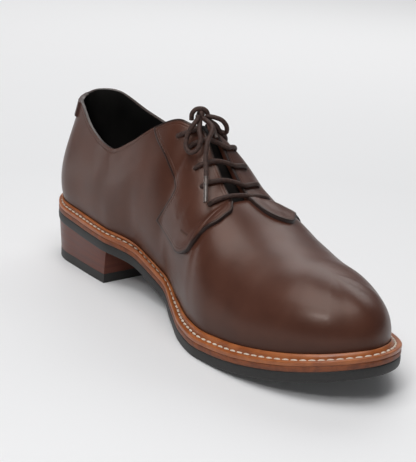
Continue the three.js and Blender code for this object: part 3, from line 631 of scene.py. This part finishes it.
def facingPlace(side, u, v):  # a point of the facing, u from its back to its front and v from its top down
    curves = facingCurves[side]
    top, bottom, back, front = (curves[name] for name in ("top", "bottom", "back", "front"))
    point = (top(u) * (1 - v) + bottom(u) * v + back(v) * (1 - u) + front(v) * u
             - top(0) * (1 - u) * (1 - v) - top(1) * u * (1 - v) - bottom(0) * (1 - u) * v - bottom(1) * u * v)
    return turnAt(point.x / sole["length"]), min(point.y / last["instep"], 1)


facingCurves = {}
for side in (medial, lateral):
    corners = facing[side]
    facingCurves[side] = {
        "top": outlineCurve([corners["back"][0], corners["front"][0]], straight=True),
        **{name: outlineCurve(corners[name]) for name in ("back", "bottom", "front")}}


def edgeSamples(side, frontOnly, count=240):  # the facing's outline as points on the bare skin
    samples = []
    for k in range(count + 1):
        share = k / count
        for u, v in ((1, share),) if frontOnly else ((0, share), (1, share), (share, 0), (share, 1)):
            samples.append(skin(side, *facingPlace(side, u, v)))
    return samples


def edgeFinder(side, frontOnly=False):
    samples = edgeSamples(side, frontOnly)
    tree = KDTree(len(samples))
    for k, point in enumerate(samples):
        tree.insert(point, k)
    tree.balance()
    return lambda point: tree.find(point)[2]


def clusteredShares(count):  # shares from 0 to 1 that lie closer together at both ends
    near = facing["edgeShares"]
    inner = count - 2 * (len(near) - 1)
    middle = [near[-1] + (1 - 2 * near[-1]) * k / inner for k in range(inner + 1)]
    return near[:-1] + middle + [1 - share for share in reversed(near[:-1])]


def makeFacing(side, name, node):
    bm = bmesh.new()
    riseLayer = bm.verts.layers.float.new("rise")
    edgeLayer = bm.verts.layers.float.new("fromEdge")
    columns, rows = facing["columns"], facing["rows"]
    acrossShares, downShares = clusteredShares(columns), clusteredShares(rows)
    fromEdge = edgeFinder(side)
    frontEdge = edgeFinder(side, frontOnly=True)
    for vert in bmesh.ops.create_grid(bm, x_segments=columns, y_segments=rows, size=1)["verts"]:
        column = round((vert.co.x + 1) / 2 * columns)
        row = round((vert.co.y + 1) / 2 * rows)
        turn, up = facingPlace(side, acrossShares[column], downShares[row])
        onEdge = column in (0, columns) or row in (0, rows)
        distance = 0 if onEdge else fromEdge(skin(side, turn, up))
        s = min(distance / facing["edgeRound"], 1)
        proud = facing["proudHeight"] * smoothShare(1 - frontEdge(skin(side, turn, up)) / facing["proudWidth"])
        height = -0.3 if onEdge else (facing["thickness"] + proud) * math.sqrt(max(1 - (1 - s) ** 2, 0))
        vert.co = place(offSkin(side, turn, up, height))
        vert[riseLayer] = up
        vert[edgeLayer] = distance
    for number, (foot, up) in enumerate(eyelets["places"][side]):  # the holes are opened in the grid and rounded
        centre = place(eyeletPoint(side, number, facing["thickness"]))
        normal = skinNormal(side, turnAt(foot), up)
        radius = eyelets["radius"] * mm
        inside = [f for f in bm.faces if (f.calc_center_median() - centre).length < radius]
        rimVerts = {v for f in inside for v in f.verts}
        bmesh.ops.delete(bm, geom=inside, context="FACES")
        for vert in rimVerts:
            if vert.is_valid and vert.link_faces:
                away = vert.co - centre
                away -= normal * away.dot(normal)
                vert.co += away.normalized() * (radius - away.length)
                vert.co -= normal * 0.15 * mm
    bmesh.ops.recalc_face_normals(bm, faces=bm.faces)
    faceToward(bm, (0, side, 0.3))
    # the faces along the outline take the dark edge material: edge stain and painted shadow
    for face in bm.faces:
        if max(vert[edgeLayer] for vert in face.verts) < 0.4:
            face.material_index = 1
    return addPiece(bm, name, [facingLeather, edgeStainAndShade], [node], 75)


def makeEyeletCups():  # the dark inside of each punched hole
    bm = bmesh.new()
    for side in (medial, lateral):
        for number, (foot, up) in enumerate(eyelets["places"][side]):
            normal = skinNormal(side, turnAt(foot), up)
            turnUp = Vector((0, 0, 1)).rotation_difference(normal).to_matrix().to_4x4()
            centre = place(eyeletPoint(side, number, eyelets["insideLevel"]))
            bmesh.ops.create_circle(bm, cap_ends=True, segments=20, matrix=Matrix.Translation(centre) @ turnUp,
                                    radius=(eyelets["radius"] + eyelets["insideMargin"]) * mm)
    return addPiece(bm, "eyeletInsides", [liningLeather])


makeFacing(medial, "facingInner", "facing_medial")
makeFacing(lateral, "facingOuter", "facing_lateral")
makeEyeletCups()
print("stage: facings")

# Tongue, insole and heel tab

tongue = {"feet": [0.48, 0.51, 0.54, 0.57, 0.6, 0.63, 0.66, 0.69], "gap": 1.1, "thickness": 1.8, "rise": 6,
          "rowsPerStep": 6, "columns": 40}


def makeTongue():
    depth = last["wall"] + tongue["gap"]

    def crossPoints(foot):
        turn = turnAt(foot)
        near = [offSkin(medial, turn, up, -depth) for up in (0.78, 0.86, 0.94)]
        far = [offSkin(lateral, turn, up, -depth) for up in (0.94, 0.86, 0.78)]
        middle = (offSkin(medial, turn, 0.999, -depth) + offSkin(lateral, turn, 0.999, -depth)) / 2
        return near + [middle] + far

    rows = [crossPoints(foot) for foot in tongue["feet"]]
    top = [a + (a - b).normalized() * tongue["rise"] for a, b in zip(rows[0], rows[1])]
    rows = [top] + rows

    def splineAt(points, place):
        i = min(int(place), len(points) - 2)
        s = place - i
        before, here, after, beyond = (points[max(i - 1, 0)], points[i], points[i + 1],
                                       points[min(i + 2, len(points) - 1)])
        return hermite(here, (after - before) * 0.5, after, (beyond - here) * 0.5, 1, s)

    bm = bmesh.new()
    count = (len(rows) - 1) * tongue["rowsPerStep"]

    def pointAt(column, row):
        across = [splineAt([line[k] for line in rows], row / tongue["rowsPerStep"]) for k in range(7)]
        return splineAt(across, 6 * column / tongue["columns"])

    mappedGrid(bm, tongue["columns"], count, pointAt)
    bmesh.ops.recalc_face_normals(bm, faces=bm.faces)
    faceToward(bm, (0, 0, 1))
    piece = addPiece(bm, "tongueLeaf", [tongueShadedLeather], ["tongue"])
    addModifier(piece, "wall", "SOLIDIFY", thickness=tongue["thickness"] * mm, offset=-1)
    addModifier(piece, "rim", "BEVEL", width=0.6 * mm, segments=3)
    return piece


makeTongue()


def makeLayer(name, section, material, node, columns=150):
    # section runs from the middle of the underside round the edge to the middle of the top: (inset, height)
    # pairs, where an inset of None is the middle
    bm = bmesh.new()
    for side in (medial, lateral):
        def pointAt(column, row):
            turn = column / columns
            inset, height = section[row]
            if inset is None:
                point = (edgePoint(medial, turn) + edgePoint(lateral, turn)) / 2
            else:
                point = insetPoint(side, turn, inset)
            return Vector((point.x, point.y, height(point.x)))
        mappedGrid(bm, columns, len(section) - 1, pointAt)
    closeUp(bm, 1e-6)
    return addPiece(bm, name, [material], [node])


def edgeSection(bottom, top, inset, bulge, steps=6):
    # rounded edge: bulge is how far the middle of the edge stands out over its corners
    rows = [(None, bottom), (30, bottom), (12, bottom), (inset + 3, bottom)]
    for k in range(steps + 1):
        angle = math.pi * (k / steps - 0.5)
        share = (1 + math.sin(angle)) / 2
        rows.append((inset + bulge * (1 - math.cos(angle)),
                     lambda x, share=share: bottom(x) + (top(x) - bottom(x)) * share))
    return rows + [(inset + 3, top), (12, top), (30, top), (None, top)]


insole = {"gap": 0.9, "thickness": 2.5, "columns": 90}


def makeInsole():
    bm = bmesh.new()
    rows = [(1, 1), (0.5, 1), (0.2, 1), (0.03, 0.97), (0, 0.8), (0, 0)]  # (share of the way to the middle, height)
    for side in (medial, lateral):
        def pointAt(column, row):
            turn = column / insole["columns"]
            share, rise = rows[row]
            inset = margin(turn) + last["wall"] + insole["gap"]
            edge, far = insetPoint(side, turn, inset), insetPoint(-side, turn, inset)
            point = edge.lerp((edge + far) / 2, share)
            return Vector((point.x, point.y, featherHeight(point.x) + insole["thickness"] * rise))
        mappedGrid(bm, insole["columns"], len(rows) - 1, pointAt)
    closeUp(bm)
    faceToward(bm, (0, 0, 1))
    return addPiece(bm, "insoleSock", [liningLeather], ["insole"])


makeInsole()

heelTab = {"width": 38, "height": 10, "thickness": 1, "columns": 64, "rows": 24}


def makeHeelTab():
    back = topPoint(medial, 0)
    reach = 0
    while (topPoint(medial, reach) - back).length < heelTab["width"] / 2:
        reach += 0.002
    depth = heelTab["height"] / (topPoint(medial, 0) - ribPoints(medial, 0)[0]).length
    bm = bmesh.new()

    def pointAt(column, row):
        step = 2 * column / heelTab["columns"] - 1
        share = row / heelTab["rows"]
        fromEdge = min((1 - abs(step)) * heelTab["width"] / 2, share * heelTab["height"],
                       (1 - share) * heelTab["height"])
        s = min(fromEdge / 0.45, 1)
        height = -0.3 if fromEdge < 1e-6 else 0.5 + heelTab["thickness"] * math.sqrt(max(1 - (1 - s) ** 2, 0))
        return offSkin(medial if step < 0 else lateral, abs(step) * reach, 1 - depth * share, height)

    mappedGrid(bm, heelTab["columns"], heelTab["rows"], pointAt)
    closeUp(bm, 1e-6)
    faceToward(bm, (-1, 0, 0))
    return addPiece(bm, "heelTabStrip", [tabLeather], ["heel_tab"])


makeHeelTab()
print("stage: tongue, insole and heel tab")

# Welt

welt = {"thickness": 2.6, "beadHeight": 3, "beadWidth": 1.4, "grooveDepth": 0.6, "columns": 150,
        "stitchPitch": 4.7, "stitchWidth": 1.5, "threadThickness": 1.1}


def weltSection(side, turn):  # from the foot of the bead, over it, through the groove and over the rim
    spread = margin(turn)
    thick, out = welt["thickness"], outwardAt(side, turn)
    bed, groove = thick - welt["grooveDepth"], spread * 0.5

    def flat(inset, height):
        point = insetPoint(side, turn, inset)
        point.z = featherHeight(point.x) + height
        return point

    def up(height):
        return Vector((0, 0, height))

    length = (ribPoints(side, turn)[3] - ribPoints(side, turn)[0]).length
    rise = (thick + welt["beadHeight"]) / length
    lip = offSkin(side, turn, rise / (3 * rib["rise"](turn)), 0.1)
    shoulder = lip + out * (welt["beadWidth"] + 0.1) + up(-0.75)
    return [
        flat(spread, 0), lip + up(-1.2), lip + up(-0.1), lip + out * 0.2 + up(0.12), lip + out * 0.55 + up(0.1),
        shoulder, shoulder.lerp(flat(groove + 0.6, bed + 0.3), 0.5) + out * 0.12,
        flat(groove + 0.6, bed + 0.28), flat(groove + 0.2, bed), flat(groove - 0.5, bed),
        flat(groove - 0.95, bed + 0.35), flat(groove - 1.25, thick + 0.02),
        flat(1.1, thick + 0.12), flat(0.5, thick - 0.02), flat(0.12, thick - 0.35), flat(0, thick - 0.85),
        flat(0, 0.35), flat(0.3, 0),
    ]


def makeWelt():
    bm = bmesh.new()
    rows = len(weltSection(medial, 0)) - 1
    for side in (medial, lateral):
        sections = [weltSection(side, k / welt["columns"]) for k in range(welt["columns"] + 1)]
        mappedGrid(bm, welt["columns"], rows, lambda column, row: sections[column][row])
    closeUp(bm, 1e-6)
    piece = addPiece(bm, "weltStrip", [weltLeather], ["welt"], 70)
    addModifier(piece, "smoother", "SUBSURF", levels=1, render_levels=1)
    return piece


def evenly(points, pitch):  # places a pitch apart along a path, as (point, direction)
    total = sum((b - a).length for a, b in zip(points, points[1:]))
    count = max(int(total / pitch), 1)
    wanted = [total * (k + 0.5) / count for k in range(count)]
    places, run, i = [], 0, 0
    for a, b in zip(points, points[1:]):
        step = (b - a).length
        while i < len(wanted) and wanted[i] <= run + step:
            places.append((a.lerp(b, (wanted[i] - run) / max(step, 1e-9)), (b - a).normalized()))
            i += 1
        run += step
    return places


def addStitch(bm, point, along, up, length, width, thickness):
    across = up.cross(along).normalized()
    axes = Matrix((along, across, along.cross(across))).transposed().to_4x4()
    size = Matrix.Diagonal((length / 2 * mm, width / 2 * mm, thickness / 2 * mm, 1))
    bmesh.ops.create_uvsphere(bm, u_segments=6, v_segments=6, radius=1,
                              matrix=Matrix.Translation(place(point)) @ axes @ size @ Matrix.Rotation(
                                  math.pi / 2, 4, "Y"))


def makeWeltStitches():
    bm = bmesh.new()
    for side in (medial, lateral):
        line = []
        for k in range(401):
            turn = k / 400
            inset = margin(turn) * 0.5 - 0.15
            point = insetPoint(side, turn, inset)
            point.z = featherHeight(point.x) + welt["thickness"] - welt["grooveDepth"] + 0.42
            line.append(point)
        for point, along in evenly(line, welt["stitchPitch"]):
            addStitch(bm, point, along, Vector((0, 0, 1)), welt["stitchPitch"] * 0.8, welt["stitchWidth"],
                      welt["threadThickness"])
    return addPiece(bm, "weltStitches", [sewingThread])


makeWelt()
makeWeltStitches()
print("stage: welt")

# Sole and heel

makeLayer("midsoleLayer", edgeSection(midsoleBottom, lambda x: midsoleBottom(x) + sole["midsole"] + 0.2, 0.05, 0.35),
          midsoleLeather, "midsole")
makeLayer("outsoleLayer", edgeSection(underside, lambda x: underside(x) + sole["outsole"] + 0.2, 0, 0.5, 8),
          soleRubber, "outsole")

heel = {"inset": 0.8, "taper": 1.4, "breastLean": 3, "lift": 6}


def makeHeelLayer(name, low, high, material, node, rows=6):
    # low and high are (inset, height, end of the heel's breast)
    bm = bmesh.new()
    columns = 44
    for side in (medial, lateral):
        def pointAt(column, row):
            if row == 0 or row == rows + 2:
                inset, height, until = low if row == 0 else high
                turn = turnAt(until / sole["length"]) * column / columns
                point = (insetPoint(medial, turn, inset) + insetPoint(lateral, turn, inset)) / 2
            else:
                share = (row - 1) / rows
                stop = low[2] + (high[2] - low[2]) * share
                inset = low[0] + (high[0] - low[0]) * share
                turn = turnAt(stop / sole["length"]) * column / columns
                point = insetPoint(side, turn, inset)
                return Vector((point.x, point.y, low[1](point.x) * (1 - share) + high[1](point.x) * share))
            return Vector((point.x, point.y, height(point.x)))
        mappedGrid(bm, columns, rows + 2, pointAt)
    bmesh.ops.remove_doubles(bm, verts=bm.verts, dist=1e-6)
    bmesh.ops.holes_fill(bm, edges=[e for e in bm.edges if e.is_boundary])
    closeUp(bm, 1e-6)
    piece = addPiece(bm, name, [material], [node])
    addModifier(piece, "rounding", "BEVEL", width=0.35 * mm, segments=2, limit_method="ANGLE",
                angle_limit=math.radians(45))


footStop = sole["breastAt"] - heel["breastLean"]
makeHeelLayer(
    "heelLift", (heel["inset"] + heel["taper"], lambda x: 0, footStop),
    (heel["inset"] + heel["taper"], lambda x: heel["lift"], footStop), soleRubber, "heel_lift", 2)
makeHeelLayer(
    "heelStackBlock", (heel["inset"] + heel["taper"], lambda x: heel["lift"] + 0.05, footStop),
    (heel["inset"], lambda x: underside(x) - 0.05, sole["breastAt"]), heelStack, "heel_block", 8)
print("stage: sole and heel")

# Seams

seams = {"pitch": 2.3, "length": 1.6, "width": 0.5, "thickness": 0.42, "rows": (1.7, 3.3), "topline": 2.4}
barTack = [(0.552, 0.535), (0.573, 0.56)]


def inwardLine(side, distance, pick):  # points that lie the same distance inside the facing's outline, in runs
    fromEdge = edgeFinder(side)
    runs, run = [], []
    for k in range(1, 400):
        u, v = pick(k / 400)
        stepU, stepV = ({0: 0.004, 1: -0.004}.get(share, 0) for share in (u, v))
        here = skin(side, *facingPlace(side, u, v))
        if stepU or stepV:
            inner = skin(side, *facingPlace(side, u + stepU, v + stepV))
            reach = distance / max((inner - here).length, 1e-6)
            spot = facingPlace(side, u + stepU * reach, v + stepV * reach)
            if abs(fromEdge(skin(side, *spot)) - distance) < 0.45:
                run.append(spot)
                continue
        if len(run) > 4:
            runs.append(run)
        run = []
    if len(run) > 4:
        runs.append(run)
    return runs


def makeSeams():
    bm = bmesh.new()

    def sew(side, places, height):
        line = [offSkin(side, turn, up, height) for turn, up in places]
        for point, along in evenly(line, seams["pitch"]):
            nearest = min(range(len(line)), key=lambda k: (line[k] - point).length)
            normal = skinNormal(side, *places[nearest])
            addStitch(bm, point, along, normal, seams["length"], seams["width"], seams["thickness"])

    lift = facing["thickness"] - 0.02
    for side in (medial, lateral):
        for pick, rows in ((lambda s: (0, s), 2), (lambda s: (s, 1), 2), (lambda s: (1, s), 1), (lambda s: (s, 0), 1)):
            for distance in seams["rows"][:rows]:
                for run in inwardLine(side, distance, pick):
                    sew(side, run, lift)
        topline = []
        for k in range(1, 121):
            turn = turnAt(0.383 * k / 120)
            length = (ribPoints(side, turn)[3] - ribPoints(side, turn)[2]).length * 3
            topline.append((turn, 1 - seams["topline"] / length))
        sew(side, topline, -0.02)
    first, second = (offSkin(medial, turnAt(foot), up, lift) for foot, up in barTack)
    normal = skinNormal(medial, turnAt(barTack[0][0]), barTack[0][1])
    along = (second - first).normalized()
    for k in range(9):
        point = first.lerp(second, k / 8)
        addStitch(bm, point, along.cross(normal), normal, 1.9, 0.5, 0.5)
    return addPiece(bm, "seamStitches", [brownThread])


makeSeams()
print("stage: seams")

# Lace

lace = {"radius": 1.4, "agletRadius": 1.35, "edgeSamples": 40}
knot = {"at": (143.6, -9.8, 119.6), "radii": (5, 4, 3.4), "turns": 1.6, "width": 2.3, "length": 3.4}


def nearestEdge(side, number):
    start = eyeletPoint(side, number)
    low, high = turnAt(last["throatTop"]), turnAt(last["throatBottom"])
    turns = [low + (high - low) * k / lace["edgeSamples"] for k in range(lace["edgeSamples"] + 1)]
    return min(turns, key=lambda turn: (skin(side, turn, 1) - start).length)


def laceFrom(side, number, shares):  # out of the hole and over the facing to the throat's edge
    foot, up = eyelets["places"][side][number]
    turn = turnAt(foot)
    edgeTurn = nearestEdge(side, number)
    surface = facing["thickness"]
    path = [offSkin(side, turn, up, -1.2), offSkin(side, turn, up, surface - 0.2)]
    for share in shares:
        path.append(offSkin(side, turn + (edgeTurn - turn) * share, up + (1 - up) * share,
                            surface + lace["radius"] * 0.95))
    return path


def addCord(name, points, nodes, radius=lace["radius"], material=laceCord):
    curve = bpy.data.curves.new(name, "CURVE")
    curve.dimensions = "3D"
    curve.bevel_depth = radius * mm
    curve.bevel_resolution = 4
    curve.use_fill_caps = True
    spline = curve.splines.new("POLY")
    spline.points.add(len(points) - 1)
    for target, point in zip(spline.points, points):
        target.co = (*place(point), 1)
    spline.use_smooth = True
    curve.materials.append(material)
    return ridePiece(bpy.data.objects.new(name, curve), nodes)


def pathLength(points):
    return sum((b - a).length for a, b in zip(points, points[1:])) * mm


for number in range(1, 5):
    near = laceFrom(medial, number, [0.25, 0.6, 0.95])
    far = laceFrom(lateral, number, [0.25, 0.6, 0.95])
    middle = (near[-1] + far[-1]) / 2 + Vector((0.3, 0, 0.5))
    addCord(f"laceBar{number + 1}", smoothPath(near + [middle] + far[::-1]), [f"lace_bar_{number + 1}"])

knotCentre = Vector(knot["at"])
for side, name in ((medial, "medial"), (lateral, "lateral")):
    lying = laceFrom(side, 0, [0.25, 0.6, 0.9])
    addCord(f"laceStrand{name.title()}", smoothPath(lying + [knotCentre.lerp(lying[-1], 0.25)]),
            [f"lace_strand_{name}"])


def offKnot(point, inside=1.5):
    toward = (Vector(point) - knotCentre).normalized()
    reach = 1 / math.sqrt(sum((toward[k] / knot["radii"][k]) ** 2 for k in range(3)))
    return knotCentre + toward * (reach - inside)


laceRoutes = {
    "loopMedial": [
        (147.6, -15.6, 117.4), (146.6, -19.6, 111.6), (146.6, -21.4, 106.6), (148.6, -22.8, 102.4),
        (152.4, -22.6, 100.4), (155.6, -20.4, 102.6), (155, -17.6, 107.6), (151, -16, 112.8)],
    "loopLateral": [
        (150, -3.4, 118.6), (152.4, -0.2, 117), (153.4, 2.4, 113.2), (151.9, 3.2, 109.6), (149.4, 1, 110),
        (149.6, -2.4, 113.8)],
    "endMedial": [
        (156.6, -10.9, 114.6), (160.8, -17.2, 107.6), (163.6, -20.2, 100.9), (167.2, -22.4, 95), (170.2, -24.4, 90.6)],
    "endLateral": [(150, -5.2, 113.4), (151.4, -5.2, 111.6)],
    "agletMedial": [(170.2, -24.4, 90.6), (173, -26.4, 86.1), (175.6, -28.2, 82.4), (178.2, -30.2, 78.6)],
    "agletLateral": [(151.4, -5.2, 111.6), (153, -5.3, 109.4), (154.4, -5.5, 107.6)],
}


def makeLoop(name, node):
    route = laceRoutes[name]
    path = smoothPath([offKnot(route[0])] + route + [offKnot(route[-1])])
    piece = addCord("lace" + name[0].upper() + name[1:], path, [node])
    length = pathLength(path)
    if length >= 0.03:
        place(path[0])
    return piece


makeLoop("loopMedial", "lace_loop_medial")
makeLoop("loopLateral", "lace_loop_lateral")
agletInner = addCord("agletInner", smoothPath(laceRoutes["agletMedial"]), ["aglet_medial"], lace["agletRadius"],
                     agletPlastic)
addCord("agletOuter", smoothPath(laceRoutes["agletLateral"]), ["aglet_lateral"], lace["agletRadius"], agletPlastic)
endPath = smoothPath([offKnot(laceRoutes["endMedial"][0])] + laceRoutes["endMedial"])
endPiece = addCord("laceEndMedial", endPath, ["lace_end_medial"])
place(endPath[0])
shortPath = smoothPath([offKnot(laceRoutes["endLateral"][0])] + laceRoutes["endLateral"])
addCord("laceEndLateral", shortPath, ["lace_end_lateral"])

knotAxis = Vector((0.52, 0.84, -0.12)).normalized()  # the loops leave along it, and the turns wrap round it
knotTurns = []
for k in range(121):
    angle = 2 * math.pi * knot["turns"] * k / 120
    first = knotAxis.cross(Vector((0, 0, 1))).normalized()
    second = knotAxis.cross(first)
    knotTurns.append(knotCentre + knotAxis * knot["length"] * (k / 120 - 0.5)
                     + first * knot["width"] * math.cos(angle) + second * knot["width"] * math.sin(angle))
addCord("laceKnotTurns", knotTurns, ["lace_knot"])
addCord("laceKnotOver", smoothPath([
    knotCentre + Vector(offset) for offset in (
        (-3.2, -3.8, -3.2), (-2.4, -4.2, 0.6), (-0.6, -2.6, 3.4), (1.8, 0.8, 3.6), (2.4, 3.2, 1.2),
        (1.8, 4, -1.6))]), None)
print("stage: lace")

# Floor, light and camera

studio = {"floorColour": (0.8, 0.8, 0.805), "worldColour": (0.93, 0.95, 1), "worldStrength": 0.12,
          "glow": (0.35, 2.6, 0.03, 0.55)}
softboxes = [  # name, direction (turn and height in degrees), distance, size, power
    ("backSoftbox", 128, 40, 1.9, (2.0, 0.9), 12),
    ("overheadSoftbox", -80, 80, 1.9, (1.5, 1.5), 25),
    ("frontFill", -70, 52, 2.0, (1.0, 1.0), 3.5),
    ("toeLamp", -65, 44, 1.3, (0.24, 0.24), 2.8),
    ("sideStrip", -151, 4, 1.4, (0.08, 0.7), 0.9),
]


def makeFloor():
    bm = bmesh.new()
    bmesh.ops.create_grid(bm, x_segments=1, y_segments=1, size=6)
    mesh = bpy.data.meshes.new("studioFloor")
    bm.to_mesh(mesh)
    bm.free()
    floor = bpy.data.objects.new("studioFloor", mesh)
    bpy.context.scene.collection.objects.link(floor)
    material, nodes, links, shader = startMaterial("floorPaper", {"specular": 0.25})
    shader.inputs["Base Color"].default_value = (*studio["floorColour"], 1)
    shader.inputs["Roughness"].default_value = 0.55
    coords = addNode(nodes, links, "TexCoord")  # the sweep behind is lit evenly, so it glows a little far out
    flat = addNode(nodes, links, "VectorMath", {0: coords.outputs["Object"]}, operation="LENGTH")
    links.new(mapRange(nodes, links, flat.outputs["Value"], *studio["glow"]), shader.inputs["Emission Strength"])
    shader.inputs["Emission Color"].default_value = (1, 1, 1, 1)
    mesh.materials.append(material)


makeFloor()
world = bpy.data.worlds.new("studioWorld")
world.use_nodes = True
world.node_tree.nodes["Background"].inputs["Color"].default_value = (*studio["worldColour"], 1)
world.node_tree.nodes["Background"].inputs["Strength"].default_value = studio["worldStrength"]
bpy.context.scene.world = world
bpy.context.scene.view_settings.view_transform = "Standard"


def addSoftbox(name, turn, height, distance, size, power):
    light = bpy.data.lights.new(name, "AREA")
    light.shape = "RECTANGLE"
    light.size, light.size_y = size
    light.energy = power
    lamp = bpy.data.objects.new(name, light)
    bpy.context.scene.collection.objects.link(lamp)
    turn, height = math.radians(turn), math.radians(height)
    away = Vector((math.cos(turn) * math.cos(height), math.sin(turn) * math.cos(height), math.sin(height)))
    lamp.location = Vector((0, 0, 0.04)) + away * distance
    lamp.rotation_euler = away.to_track_quat("Z", "Y").to_euler()


for values in softboxes:
    addSoftbox(*values)

camera = {"from": (0.4971, -0.4104, 0.2517), "target": (0.0, -0.005, 0.05), "roll": 3.35, "lens": 88}


def makeCamera():
    data = bpy.data.cameras.new("photoCamera")
    data.lens = camera["lens"]
    data.clip_start = 0.01
    view = bpy.data.objects.new("photoCamera", data)
    bpy.context.scene.collection.objects.link(view)
    direction = (Vector(camera["target"]) - Vector(camera["from"])).normalized()
    turned = direction.to_track_quat("-Z", "Y") @ Quaternion((0, 0, 1), math.radians(camera["roll"]))
    view.location = camera["from"]
    view.rotation_euler = turned.to_euler()
    bpy.context.scene.camera = view


makeCamera()
print("stage: floor, light and camera")
